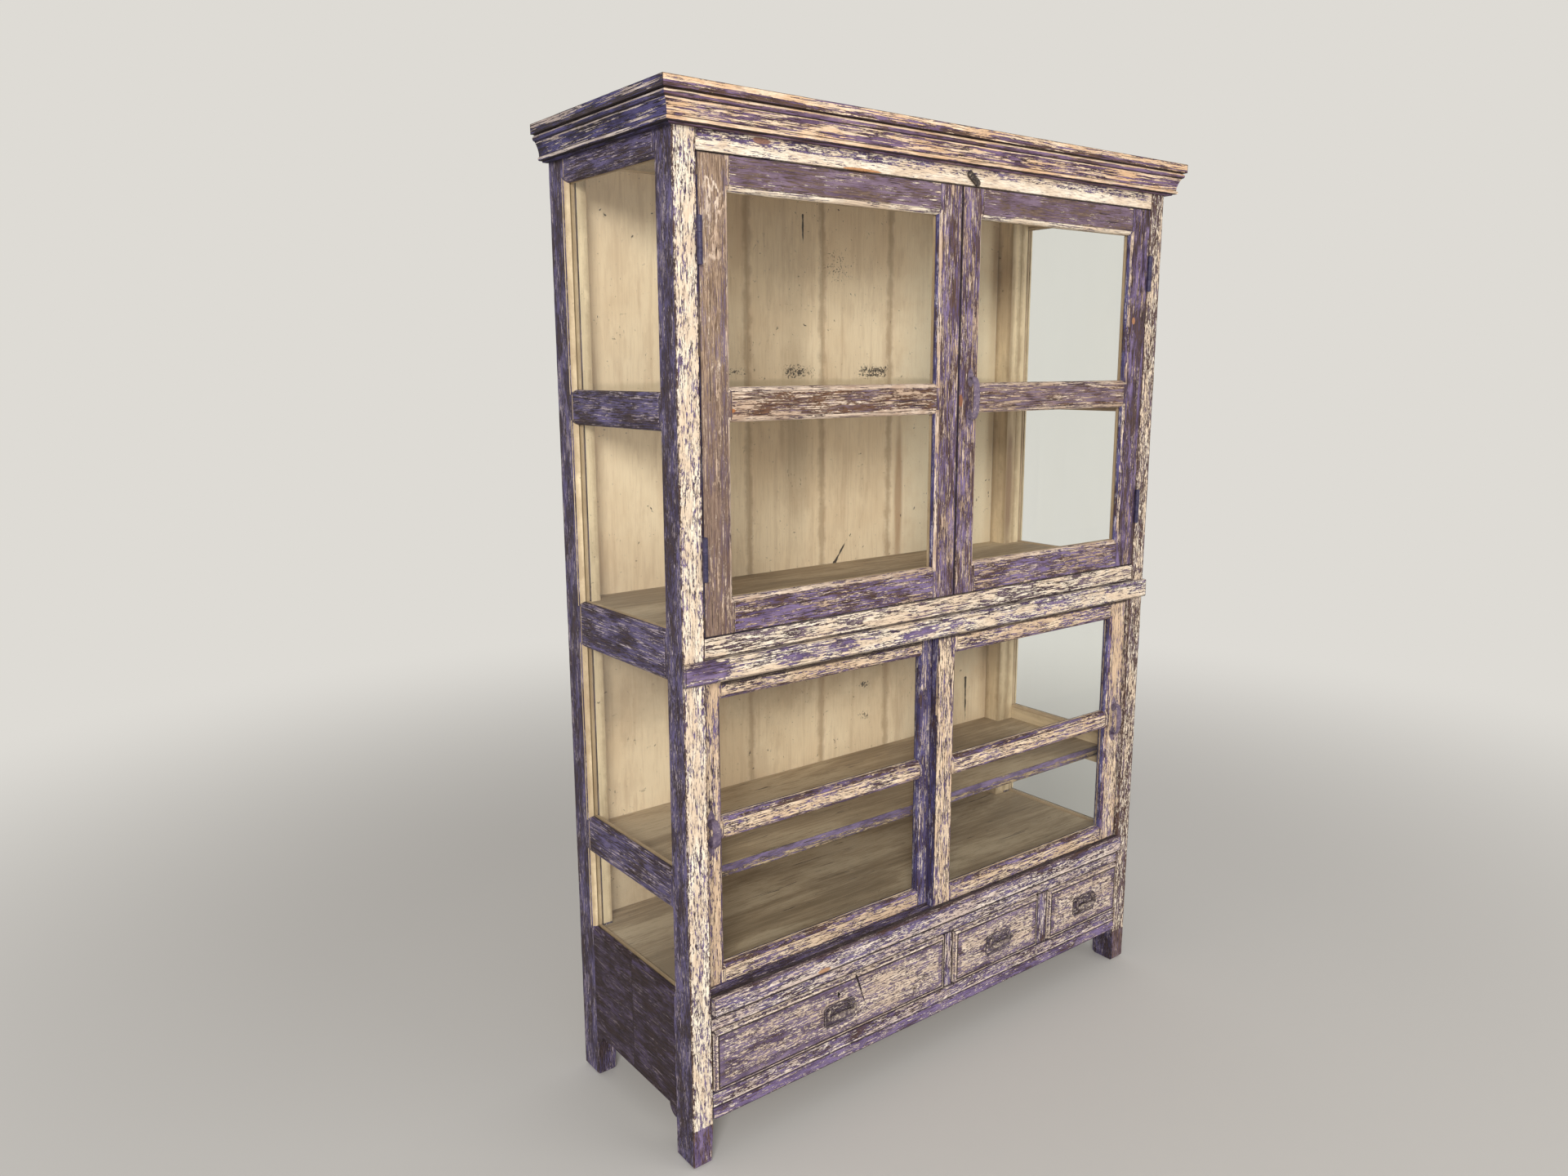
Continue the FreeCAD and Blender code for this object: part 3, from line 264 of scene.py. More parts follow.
def between(net, value, low, high, low_soft, high_soft):
    """1 where value lies between low and high, with soft ends."""
    return net.step(value, low - low_soft, low + low_soft) * \
        net.step(value, high + high_soft, high - high_soft)


def stained_and_shaded(net, colour, place, wobble, shades):
    """Colour under soft ovals of other tones: stains, and painted light and shade."""
    for centre, radii, soft, share, tone in shades:
        colour = net.blend(oval(net, place, wobble, centre, radii, soft) * share, colour, tone)
    return colour


def weighted(gain, *parts):
    """Weighted sum of noises, each centred on zero."""
    first, *others = [(source - 0.5) * (weight * gain) for source, weight in parts]
    return sum(others, first)


# Tones, 0 to 255: of damage and painted shade, then pairs of paints and woods, then creams from
# clean to dirty
CRACK_AND_SHADE = (44, 32, 34)
CHIP = (72, 60, 50)
GRIME = (142, 112, 80)
DIRT = (64, 52, 44)
VIOLET = ((126, 108, 146), (84, 68, 100))
LAVENDER = ((128, 108, 126), (96, 76, 92))
PLUM = ((130, 106, 138), (92, 68, 92))
NAVY = ((88, 82, 130), (50, 44, 78))
MUTED = ((124, 106, 120), (88, 70, 82))
BROWN = ((58, 40, 36), (110, 82, 68))
OLIVE = ((78, 60, 50), (140, 116, 96))
CREAM = ((252, 238, 216), (230, 206, 178), (166, 142, 130))
WARM = ((248, 222, 192), (230, 190, 150), (150, 110, 90))
COOL = ((250, 234, 218), (216, 194, 180), (130, 110, 108))
TAN = ((232, 210, 188), (192, 164, 140), (138, 114, 104))

# Radius that takes in the whole depth of the cabinet, and the axes
ANY = 9.0
X, Y, Z = 0, 1, 2

looks = {}


def layered_paint(name, cream, purple, creams, purples, woods, flaky=1.0, streaky=1.0,
                  thready=1.0, patchy=0.5, wash=0.3, washed=None, mould_cream=0.0,
                  arris_cream=0.4, rim_wood=0.0, rim_width=0.003, softness=0.035, bands=(),
                  rims=(), patches=(), shades=(), marks=(), lines=(), grooves=(), slashes=(),
                  scratches=None, seam=0.8, seam_width=0.0022):
    """Look of cream paint flaking off purple paint, which is rubbed off brown wood, with painted
    shade along creases, hollows and the flakes' edges, and a painted highlight on outer arrises.
    """
    net = Net(name)
    place, moved, grain = grain_space(net)
    half = part_drawn(net, moved, 0.75)
    parts = net.split(place)
    edge = arris_distance(net, place)
    wobble = ragged(net, place)
    streaks = net.noise(grain, 260.0, 5.0, 0.66)
    threads = net.noise(grain, 620.0, 3.0, 0.6)
    hairs = net.noise(grain + (2.3, 4.1, 1.9), 860.0, 2.0, 0.6)
    flecks = net.noise(half, 330.0, 6.0, 0.74, 0.5)
    clumps = net.noise(half, 26.0, 7.0, 0.72, 0.6)
    rubs = net.noise(half + (3.1, 1.7, 5.3), 36.0, 5.0, 0.68)

    wear = (flecks - 0.5) * 0.014
    near_rim = net.step(edge + wear, rim_width, rim_width * 0.3)
    arris = net.attribute("arris", "Fac")
    # Bevelled inner corners get painted shade, with grime: less cream here and a dark tone below.
    # Bevelled outer arrises get more cream: wear, partly a painted highlight.
    hollow = net.most(arris * -1.0, 0.0)
    cream_level = weighted(2.6, (streaks, streaky), (threads, thready), (flecks, flaky))
    cream_level = cream_level * net.step(rubs, 0.36, 0.64, 0.5, 1.4)
    cream_level = cream_level + weighted(3.4, (clumps, patchy)) + (cream - 0.5)
    for share, amount in ((near_rim, -rim_wood), (net.attribute("mould", "Fac"), mould_cream),
                          (net.most(arris, 0.0), arris_cream), (hollow, -0.5)):
        cream_level = cream_level + share * amount
    purple_level = weighted(2.6, (streaks, -1.3), (hairs, 1.4), (rubs, 0.8), (flecks, -0.6))
    purple_level = purple_level + (purple - 0.5) - near_rim * rim_wood
    areas = [(between(net, parts[axis], low, high, 0.0012, 0.0012), *more)
             for axis, low, high, *more in bands]
    areas += [(between(net, edge + wear, low, high, 0.001, 0.002), *more)
              for low, high, *more in rims]
    areas += [(oval(net, place, wobble, centre, radii, 0.3), *more)
              for centre, radii, *more in patches]
    for share, cream_more, purple_more in areas:
        cream_level = cream_level + share * cream_more
        purple_level = purple_level + share * purple_more
    cream_mask = net.step(cream_level, -softness, softness)
    purple_mask = net.step(purple_level, -softness * 2, softness * 2)

    wood = net.blend(net.step(hairs, 0.36, 0.62), woods[0], woods[1])
    violet = net.blend(net.step(rubs, 0.38, 0.62), purples[1], purples[0])
    violet = net.blend(net.step(hairs, 0.46, 0.36, 0.0, 0.5), violet, woods[0])
    pale = net.blend(net.step(clumps, 0.4, 0.6), creams[0], creams[1])
    pale = net.blend(net.step(threads, 0.5, 0.38, 0.0, 0.6), pale, creams[2])
    colour = net.blend(purple_mask, wood, violet)
    film = weighted(1.0, (threads, 1.0), (streaks, 0.6), (rubs, 0.4))
    colour = net.blend(net.step(film, -0.03, 0.16, 0.0, wash), colour, washed or creams[2])
    colour = stained_and_shaded(net, colour, place, wobble, shades)
    # Painted shadow, with dirt, beside the edges of the cream flakes: the paint there turns towards
    # the dark wood tone.
    colour = net.blend(net.step(cream_level, -0.3, -0.03, 0.0, 0.6), colour, woods[0])
    colour = net.blend(cream_mask, colour, pale)
    for centre, radii, tone in marks:
        colour = net.blend(oval(net, place, wobble, centre, radii, 0.06), colour, tone)
    if scratches:
        low, high = scratches
        wiggle = net.noise(half + (8.1, 2.2, 6.4), 34.0, 5.0, 0.6)
        hair = net.step(net.math("ABSOLUTE", wiggle - 0.5), 0.03, 0.014)
        where = net.step(net.noise(place, 9.0, 2.0, 0.5), low - 0.04, low)
        colour = net.blend(hair * where * net.step(parts[Z], high, high + 0.1), colour, pale)

    crack = net.step(net.noise(grain, 330.0, 2.0, 0.5), 0.33, 0.29, 0.0, 0.85)
    # Dark marks in one tone: cracks, seams and splits are real; bevelled inner corners, the given
    # levels and the given distances from the edges get painted shade.
    dark = [crack, hollow * 0.75,
            net.step(edge + wear * 0.25, seam_width, seam_width * 0.3, 0.0, seam)]
    # Painted shade as thin dark stripes along moulding steps, gaps and the groove of a moulded
    # edge.
    for value, level, width, share in [(parts[axis], *line) for axis, *line in lines] + \
            [(edge, *groove) for groove in grooves]:
        off = net.math("ABSOLUTE", value - level) + wear * 0.12
        dark.append(net.step(off, width, width * 0.5, 0.0, share))
    dark += [slash(net, place, wobble, *ends) for ends in slashes]
    colour = net.blend(net.most(*dark), colour, CRACK_AND_SHADE)
    height = cream_mask * 0.8 + (purple_mask * 0.3 + threads) - crack
    rough = net.step(flecks, 0.3, 0.7, 0.62, 0.8) + cream_mask * -0.06
    looks[name] = net.painted(colour, rough, height, 0.0009, 0.9)


def inner_paint(name, tones, stain, marks, shades=(), chips=(), slashes=()):
    """Look of old even paint inside the cabinet, with soft streaks, stains, dark chips, and ovals
    of painted light and shade where given.
    """
    net = Net(name)
    place, moved, grain = grain_space(net)
    wobble = ragged(net, place)
    streaks = net.noise(grain, 60.0, 5.0, 0.6, 0.2)
    threads = net.noise(grain, 330.0, 3.0, 0.6)
    clouds = net.noise(moved, 3.4, 4.0, 0.55)
    mottle = net.noise(part_drawn(net, moved, 0.75), 20.0, 6.0, 0.66)
    colour = net.blend(net.step(clouds, 0.36, 0.64), *tones)
    for source, none, full, share in ((mottle, 0.5, 0.36, 0.3), (streaks, 0.48, 0.34, 0.3),
                                      (threads, 0.5, 0.36, 0.2)):
        colour = net.blend(net.step(source, none, full, 0.0, share), colour, stain)
    colour = stained_and_shaded(net, colour, place, wobble, shades)
    near = arris_distance(net, place) - wobble * 0.03
    colour = net.blend(net.step(near, 0.0, -0.014, 0.0, 0.5), colour, GRIME)
    dots = net.noise(moved, 150.0, 3.0, 0.8, 0.4)
    spots = net.noise(moved, 52.0, 5.0, 0.72, 0.8)
    grit = net.noise(place, 210.0, 4.0, 0.7, 0.6)
    dark = [net.step(dots, 0.72 - marks * 0.1, 0.74 - marks * 0.1),
            net.step(spots, 0.735 - marks * 0.2, 0.75 - marks * 0.2)]
    dark += [net.step(grit + oval(net, place, wobble, centre, radii, 0.8) * more, 0.79, 0.81)
             for centre, radii, more in chips]
    dark += [slash(net, place, wobble, *ends) for ends in slashes]
    chipped = net.most(*dark)
    colour = net.blend(chipped, colour, CHIP)
    rough = net.step(clouds, 0.3, 0.7, 0.5, 0.66)
    looks[name] = net.painted(colour, rough, threads * 0.25 - chipped, 0.0002, 0.5)


def worn_wood(name, dark, light, wash, wash_share):
    """Look of greyed boards with fine grain, cloudy wear, cracks and the rests of a wash."""
    net = Net(name)
    _, moved, grain = grain_space(net)
    clouds = net.noise(part_drawn(net, moved, 0.8), 7.0, 6.0, 0.6, 0.6)
    veins = net.noise(grain, 90.0, 6.0, 0.7, 0.8)
    threads = net.noise(grain, 420.0, 4.0, 0.7, 0.2)
    cracks = net.noise(grain + (4.4, 7.7, 2.1), 120.0, 4.0, 0.6, 0.6)
    spots = net.noise(moved, 60.0, 5.0, 0.72, 0.8)
    colour = net.blend(net.step(veins * 0.5 + clouds * 0.5, 0.4, 0.6), dark, light)
    worn = clouds * 0.7 + threads * 0.3
    colour = net.blend(net.step(worn, 0.5, 0.62, 0.0, wash_share), colour, wash)
    colour = net.blend(net.step(threads, 0.46, 0.34, 0.0, 0.45), colour, dark)
    dirt = net.most(net.step(cracks, 0.345, 0.325, 0.0, 0.8),
                    net.step(spots, 0.7, 0.72, 0.0, 0.8))
    colour = net.blend(dirt, colour, DIRT)
    rough = net.step(clouds, 0.3, 0.7, 0.6, 0.8)
    looks[name] = net.painted(colour, rough, threads * 0.6 - dirt, 0.0004, 0.7)


def old_iron(name, base, light, rust, pale, pale_share, pale_from):
    """Look of iron painted over many times, with worn bright places and a little rust."""
    net = Net(name)
    moved = grain_space(net)[1]
    coat = net.noise(moved, 90.0, 5.0, 0.65)
    grit = net.noise(moved, 420.0, 4.0, 0.7)
    flecks = net.noise(moved, 180.0, 6.0, 0.8, 0.5)
    colour = net.blend(net.step(coat, 0.36, 0.64), base, light)
    colour = net.blend(net.step(coat * 0.5 + grit * 0.5, 0.55, 0.63), colour, rust)
    colour = net.blend(net.step(flecks, pale_from, pale_from + 0.04, 0.0, pale_share), colour,
                       pale)
    rough = net.step(grit, 0.3, 0.7, 0.42, 0.68)
    looks[name] = net.painted(colour, rough, grit, 0.0003, 0.7, 0.5)


def window_glass():
    """Thin old glass with a trace of tint and dust."""
    net = Net("old_glass")
    tint = net.made("BsdfTransparent", {"Color": (0.982, 0.988, 0.98, 1.0)})
    gloss = net.made("BsdfGlossy", {"Color": WHITE, "Roughness": 0.02})
    facing = net.made("LayerWeight", {"Blend": 0.5}, "Facing")
    mirror = net.math("POWER", facing, 5.0) * 0.6 + 0.014
    sheen = net.made("MixShader", {0: mirror, 1: tint, 2: gloss})
    dust = net.made("BsdfDiffuse", {"Color": srgb(214, 208, 192)})
    smears = net.noise(net.place() * (1.0, 1.0, 0.35), 7.0, 6.0, 0.65, 0.5)
    return net.finish(net.made("MixShader", {0: net.step(smears, 0.38, 0.75, 0.0, 0.012),
                                             1: sheen, 2: dust}))


def spot(x, y, z, across, up, *more):
    """Oval at a point of a face towards the front, with its half width and half height."""
    return ((x, y, z), (across, ANY, up)) + more


cornice = {
    "patchy": 0.35, "flaky": 0.5,
    "bands": ((Z, 1.95, 1.97, 0.2, 0.0), (Z, 1.9405, 1.947, -0.45, -0.3),
              (Z, 1.9352, 1.94, 0.65, 0.0), (Z, 1.9285, 1.9345, -0.6, 0.1),
              (Z, 1.9262, 1.9285, 0.35, 0.0), (Z, 1.904, 1.926, -0.12, 0.2),
              (Z, 1.897, 1.9028, 0.7, 0.0), (Z, 1.892, 1.8958, -0.8, 0.1)),
    # Painted shade as thin dark stripes along the steps between the cornice's mouldings.
    "lines": ((Z, 1.9405, 0.0013, 0.9), (Z, 1.9288, 0.0012, 0.85), (Z, 1.9032, 0.001, 0.85),
              (Z, 1.8955, 0.0011, 0.8))}
post = {
    "rim_wood": 0.6, "rim_width": 0.0045, "flaky": 1.5, "streaky": 0.9,
    "bands": ((Z, -0.1, 0.082, -0.9, 0.2),)}
layered_paint("cornice_front", 0.55, 0.6, WARM, PLUM, BROWN, streaky=1.5, washed=(180, 140, 112),
              **cornice)
layered_paint("cornice_side", 0.27, 0.5, ((224, 208, 198), (178, 160, 152), (96, 82, 84)), NAVY,
              ((22, 14, 20), (72, 58, 60)), streaky=1.4, **{**cornice, "patchy": 0.3})
layered_paint("frieze", 0.82, 0.85, CREAM, VIOLET, BROWN, flaky=1.2, streaky=0.7,
              bands=((Z, 1.8775, 1.9, -0.3, 0.1), (Z, 1.85, 1.876, 0.16, 0.0)),
              patches=(spot(0.25, FRONT_Y, 1.868, 0.32, 0.012, 0.3, 0.0),),
              marks=(spot(-0.482, FRONT_Y, 1.887, 0.02, 0.0055, (150, 112, 96)),
                     spot(-0.257, FRONT_Y, 1.8615, 0.045, 0.003, (192, 140, 96))))
layered_paint("door_top", 0.0, 0.66, CREAM, LAVENDER, OLIVE, wash=0.4, washed=(142, 118, 126),
              mould_cream=0.8, softness=0.07, flaky=0.6)
layered_paint("door_rail", 0.34, 0.22, TAN, MUTED, ((64, 42, 32), (132, 96, 72)), wash=0.5,
              washed=(182, 146, 112), mould_cream=0.5, streaky=1.2,
              bands=((X, 0.06, 0.6, -0.22, 0.45),),
              marks=(spot(-0.555, -0.2, 1.437, 0.012, 0.004, (176, 116, 70)),))
layered_paint("door_low", 0.22, 0.45, TAN, VIOLET, BROWN, wash=0.35, mould_cream=0.5, flaky=1.2,
              patches=(spot(-0.46, FRONT_Y, 1.062, 0.1, 0.014, -0.25, 0.5),))
layered_paint("hinge_stile", 0.1, 0.1, TAN, MUTED, ((98, 76, 60), (186, 158, 132)), wash=0.3,
              washed=(190, 168, 148), mould_cream=0.6, softness=0.05, scratches=(0.53, 1.55),
              patches=(spot(-0.56, FRONT_Y, 1.25, 0.016, 0.5, 0.0, 0.5),),
              # The oval darkens the lower part of the stile.
              shades=(spot(-0.585, FRONT_Y, 1.18, 0.1, 0.26, 0.5, 0.45, (96, 74, 72)),))
layered_paint("meeting_stile", 0.24, 0.46, TAN, VIOLET, BROWN, wash=0.5, washed=(170, 144, 138),
              # A painted shade stripe along the gap between the meeting stiles.
              mould_cream=0.5, thready=1.2, lines=((X, 0.006, 0.0042, 0.97),),
              marks=(spot(0.013, -0.2, 1.443, 0.006, 0.013, (148, 100, 76)),))
layered_paint("right_stile", 0.02, 0.42, TAN, VIOLET, ((46, 32, 32), (92, 70, 64)), wash=0.2,
              mould_cream=0.5,
              marks=(spot(0.5716, -0.2, 1.612, 0.006, 0.008, (166, 118, 84)),))
layered_paint("post", 0.7, 0.5, CREAM, VIOLET, BROWN, patchy=0.5, **post)
layered_paint("right_post", 0.4, 0.3, CREAM, MUTED, BROWN, patchy=0.6, **post)
layered_paint("waist", 0.56, 0.6, CREAM, MUTED, BROWN, streaky=1.3, flaky=0.9,
              # A painted shade stripe in the crease above the waist moulding.
              lines=((Z, 1.003, 0.0034, 0.8),))
layered_paint("waist_moulding", 0.62, 0.85, CREAM, VIOLET, BROWN, flaky=1.1, streaky=1.2,
              # Painted shade stripes: the shadow under the waist moulding and a crease within it.
              patchy=0.7, lines=((Z, 0.9615, 0.0024, 0.6), (Z, 0.992, 0.0016, 0.6)),
              patches=(spot(-0.622, -0.213, 0.982, 0.05, 0.02, -0.8, 0.2),
                       spot(-0.395, -0.213, 0.976, 0.05, 0.006, -0.45, 0.3),
                       spot(-0.303, -0.213, 0.984, 0.035, 0.011, -0.5, 0.3),
                       spot(-0.098, -0.213, 0.977, 0.05, 0.006, -0.5, 0.4)))
# The left sliding door stands behind the right one, so the painted shadow line under the waist rail
# sits lower on it
for name, painted_shadow_z in (("slider", 0.952), ("slider_back", 0.942)):
    layered_paint(name, 0.6, 0.5, ((246, 222, 192), (220, 190, 158), (160, 132, 114)), VIOLET,
                  BROWN, mould_cream=-0.4, flaky=1.3, arris_cream=0.6,
                  lines=((Z, painted_shadow_z, 0.0065, 0.85),))
layered_paint("slider_violet", 0.2, 0.9, COOL, ((112, 104, 150), (76, 66, 100)), BROWN,
              flaky=1.2, streaky=1.2, arris_cream=0.6)
layered_paint("sill", 0.46, 0.7, COOL, ((118, 104, 142), (76, 62, 90)), BROWN, flaky=2.0,
              streaky=1.2, bands=((Z, 0.3385, 0.3455, -0.35, 0.2), (Z, 0.313, 0.3185, 0.3, 0.0)),
              # Painted shade stripes under the sliding door rail, under the nosing and at the foot
              # of the cove.
              lines=((Z, 0.346, 0.0024, 0.9), (Z, 0.3105, 0.0028, 0.9), (Z, 0.302, 0.003, 0.9)),
              marks=(spot(-0.35, -0.215, 0.3165, 0.016, 0.0045, (190, 146, 112)),))
layered_paint("drawer", 0.6, 0.62, ((246, 226, 204), (214, 190, 168), (146, 124, 118)),
              ((134, 116, 142), (94, 78, 102)), BROWN, flaky=2.2, streaky=0.7, wash=0.4,
              seam_width=0.0045, seam=0.92,
              rims=((0.0002, 0.005, -0.15, 0.1), (0.005, 0.0076, 0.6, 0.1),
                    (0.01, 0.022, -0.42, 0.3)),
              # A painted shade stripe along the step of the moulded edge.
              grooves=((0.009, 0.0024, 0.95),),
              patches=(spot(-0.52, -0.209, 0.19, 0.2, 0.06, -0.26, 0.2),
                       spot(-0.31, -0.209, 0.225, 0.07, 0.04, -0.2, 0.15),
                       spot(0.175, -0.209, 0.205, 0.06, 0.03, -0.2, 0.1)),
              # The near-black mark over the keyhole is painted shade inside the real hole.
              marks=(spot(-0.307, -0.209, 0.245, 0.003, 0.0068, (16, 10, 12)),),
              slashes=(((-0.259, 0.2685), (-0.234, 0.197), 0.003),))
layered_paint("divider", 0.26, 0.5, COOL, ((118, 104, 142), (72, 60, 86)), BROWN, flaky=1.6,
              streaky=1.2, seam=0.95, seam_width=0.0042)
layered_paint("plate", 0.2, 0.6, COOL, ((112, 98, 116), (78, 66, 80)),
              ((42, 32, 34), (88, 72, 68)), flaky=1.4, streaky=0.5, arris_cream=0.6, seam=0.95,
              seam_width=0.0026)
layered_paint("bottom_rail", 0.34, 0.55, COOL, VIOLET, BROWN, flaky=1.5,
              bands=((Z, 0.0, 0.114, -0.3, 0.3), (Z, 0.1165, 0.12, 0.35, 0.0)),
              # Painted shade stripes along the edges of the moulding.
              lines=((Z, 0.115, 0.0022, 0.85), (Z, 0.145, 0.0024, 0.8)))
layered_paint("side", 0.08, 0.52, ((202, 186, 190), (160, 144, 154), (112, 100, 112)),
              ((104, 94, 132), (62, 52, 76)), ((38, 26, 28), (88, 70, 68)), wash=0.2,
              washed=(140, 126, 138), mould_cream=0.1, softness=0.05, streaky=1.1, thready=1.1,
              patchy=0.3)
# The side panels take darker tones than the side rails: partly their own browner paint, partly
# painted shade.
layered_paint("panel", 0.0, 0.36, ((142, 126, 128), (110, 96, 104), (84, 70, 78)),
              ((82, 68, 92), (48, 36, 46)), ((30, 18, 20), (64, 46, 44)), wash=0.12,
              washed=(94, 80, 86), softness=0.06, streaky=1.1, patchy=0.3)
layered_paint("edge", 0.16, 0.85, ((206, 198, 206), (160, 150, 168), (104, 96, 118)), NAVY,
              BROWN, wash=0.2, arris_cream=0.6)
inner_paint("inner", ((214, 192, 156), (236, 214, 176)), (170, 148, 116), 0.25,
            shades=(spot(0.596, 0.19, 1.2, 0.012, 0.16, 0.5, 0.7, (112, 70, 44)),
                    spot(0.585, 0.19, 1.68, 0.01, 0.12, 0.5, 0.4, (150, 116, 84))))
inner_paint("back", ((226, 200, 164), (240, 218, 184)), (196, 166, 132), 0.35,
            # Painted light: the right part of the back boards is paler.
            shades=(spot(0.46, BACK_Y, 1.3, 0.2, 0.55, 0.5, 0.7, (255, 242, 212)),
                    # Painted shade: darker low in the lower compartment and near the top of the
                    # sliding compartment.
                    spot(0.00, BACK_Y, 0.4, 0.9, 0.12, 0.6, 0.5, (120, 98, 74)),
                    spot(0.00, BACK_Y, 0.83, 0.9, 0.1, 0.7, 0.55, (124, 102, 78)),
                    spot(0.245, BACK_Y, 1.2, 0.012, 0.17, 0.5, 0.6, (150, 104, 62)),
                    spot(0.00, BACK_Y, 1.47, 0.75, 0.014, 0.4, 0.4, (160, 140, 104)),
                    # Painted shadow: a narrow dark vertical band left of the middle.
                    spot(-0.075, BACK_Y, 1.4, 0.035, 0.28, 0.7, 0.3, (136, 114, 88))),
            chips=(spot(-0.075, BACK_Y, 1.502, 0.05, 0.02, 0.31),
                   spot(0.16, BACK_Y, 1.5, 0.06, 0.02, 0.32),
                   spot(0.045, BACK_Y, 1.74, 0.07, 0.05, 0.21),
                   spot(-0.27, BACK_Y, 1.5, 0.07, 0.015, 0.26),
                   spot(0.137, BACK_Y, 0.73, 0.02, 0.01, 0.3),
                   spot(0.14, BACK_Y, 0.65, 0.02, 0.014, 0.28)),
            slashes=(((0.04, 1.05), (0.08, 1.106), 0.0042),
                     ((-0.056, 1.842), (-0.055, 1.775), 0.003),
                     ((0.502, 0.684), (0.506, 0.566), 0.0035),
                     ((0.612, 1.274), (0.612, 1.1), 0.0035)))
inner_paint("bead", ((196, 174, 142), (222, 200, 166)), (150, 126, 100), 0.05)
worn_wood("shelf", (140, 120, 92), (182, 160, 130), (208, 190, 160), 0.6)
layered_paint("shelf_edge", 0.4, 0.6, ((206, 180, 142), (176, 150, 118), (130, 108, 90)),
              VIOLET, OLIVE,
              bands=((Z, 0.5465, 0.5575, -0.7, 0.6), (Z, 1.446, 1.457, -0.7, 0.6)))
layered_paint("sill_top", 0.16, 0.45, COOL, MUTED, BROWN, streaky=1.3, wash=0.5)
worn_wood("bare", (104, 80, 56), (146, 116, 84), (160, 136, 106), 0.3)
old_iron("iron", (58, 48, 60), (112, 98, 114), (52, 38, 38), (196, 176, 156), 0.55, 0.6)
old_iron("pull_iron", (86, 72, 94), (124, 108, 124), (60, 46, 46), (210, 192, 170), 0.6, 0.58)
old_iron("hinge_iron", (36, 32, 60), (66, 58, 88), (44, 34, 40), (140, 126, 134), 0.3, 0.62)
old_iron("bail_iron", (70, 58, 66), (132, 116, 112), (52, 40, 40), (220, 204, 174), 0.9, 0.54)
old_iron("black_iron", (40, 34, 32), (74, 62, 54), (84, 60, 46), (190, 170, 146), 0.7, 0.57)
glass = window_glass()


# Wooden pieces

HASH_PRIMES = (73856093, 19349663, 83492791)
HASH_FACTOR = 1274126177
HASH_TOP = 0xFFFFFFFF


def hash_noise(points, size, seed):
    """Smooth noise from 0 to 1 at an array of points, with features of about size."""
    place = points / size + seed * 7.31
    cell = np.floor(place).astype(np.int64)
    part = place - cell
    part = part * part * (3 - 2 * part)
    total = np.zeros(len(points))
    for corner in product((0, 1), repeat=3):
        at = cell + np.array(corner)
        mixed = np.bitwise_xor.reduce(at * HASH_PRIMES, axis=1)
        mixed = (mixed ^ (mixed >> 13)) * HASH_FACTOR & HASH_TOP
        weight = np.prod(np.where(np.array(corner) == 1, part, 1 - part), axis=1)
        total += weight * (mixed / HASH_TOP)
    return total


def islands(node):
    """The separate solids of a CAD node as (points, faces)."""
    raw = bmesh.new()
    raw.from_mesh(nodes[node].data)
    raw.verts.index_update()
    doubles = bmesh.ops.find_doubles(raw, verts=raw.verts, dist=WELD)["targetmap"]
    corners = [[doubles.get(v, v).index for v in face.verts] for face in raw.faces]
    spots = [v.co.copy() for v in raw.verts]
    raw.free()
    users = {}
    for number, face in enumerate(corners):
        for pair in zip(face, face[1:] + face[:1]):
            users.setdefault(tuple(sorted(pair)), []).append(number)
    home = list(range(len(corners)))

    def root(number):
        while home[number] != number:
            home[number] = home[home[number]]
            number = home[number]
        return number

    # Faces come solid by solid, so an edge that two solids share has its users in pairs
    for pair in users.values():
        for one, other in zip(pair[::2], pair[1::2]):
            home[root(other)] = root(one)
    groups = {}
    for number in range(len(corners)):
        groups.setdefault(root(number), []).append(corners[number])
    found = []
    for key in sorted(groups):
        used = sorted({i for face in groups[key] for i in face})
        order = {i: n for n, i in enumerate(used)}
        found.append(([spots[i] for i in used], [[order[i] for i in face] for face in groups[key]]))
    return found


def arris_sign(face, marks):
    """1 on a bevelled outer arris, -1 in a bevelled inner corner, 0 elsewhere."""
    if not face[marks]:
        return 0
    centre = face.calc_center_median()
    rise = 0.0
    for edge in face.edges:
        for other in edge.link_faces:
            if other is not face and not other[marks]:
                rise += (other.calc_center_median() - centre).normalized().dot(face.normal)
    return -1 if rise > 0.05 else 1


def dressed_solid(points, faces, bevel):
    """One board with bevelled arrises and rings of points along its grain."""
    bm = bmesh.new()
    marks = bm.faces.layers.int.new("arris")
    verts = [bm.verts.new(p) for p in points]
    for face in faces:
        if len(set(face)) > 2:
            bm.faces.new([verts[i] for i in face])
    bmesh.ops.dissolve_limit(bm, angle_limit=FLAT_ANGLE, verts=bm.verts, edges=bm.edges)
    low = np.min([p[:] for p in points], axis=0)
    high = np.max([p[:] for p in points], axis=0)
    sharp = [e for e in bm.edges if len(e.link_faces) == 2 and e.calc_face_angle(0) > ARRIS_ANGLE]
    made = bmesh.ops.bevel(bm, geom=sharp, offset=bevel, offset_type="OFFSET", segments=2,
                           profile=0.5, affect="EDGES", clamp_overlap=True, loop_slide=True)
    for face in made["faces"]:
        face[marks] = 1
    axis = int(np.argmax(high - low))
    length = high[axis] - low[axis]
    if length > LEAST_FOR_RINGS:
        count = int(length / RING_STEP)
        normal = Vector((0, 0, 0))
        normal[axis] = 1.0
        for i in range(1, count):
            bmesh.ops.bisect_plane(bm, geom=bm.verts[:] + bm.edges[:] + bm.faces[:], dist=WELD,
                                   plane_co=normal * (low[axis] + length * i / count),
                                   plane_no=normal)
    bm.normal_update()
    bm.verts.index_update()
    signs = np.array([arris_sign(f, marks) for f in bm.faces])
    out = (np.array([v.co[:] for v in bm.verts]), np.array([v.normal[:] for v in bm.verts]),
           [[v.index for v in f.verts] for f in bm.faces], signs,
           np.array([f.normal[:] for f in bm.faces]),
           np.array([f.calc_center_median()[:] for f in bm.faces]))
    bm.free()
    return out + (low, high, axis)


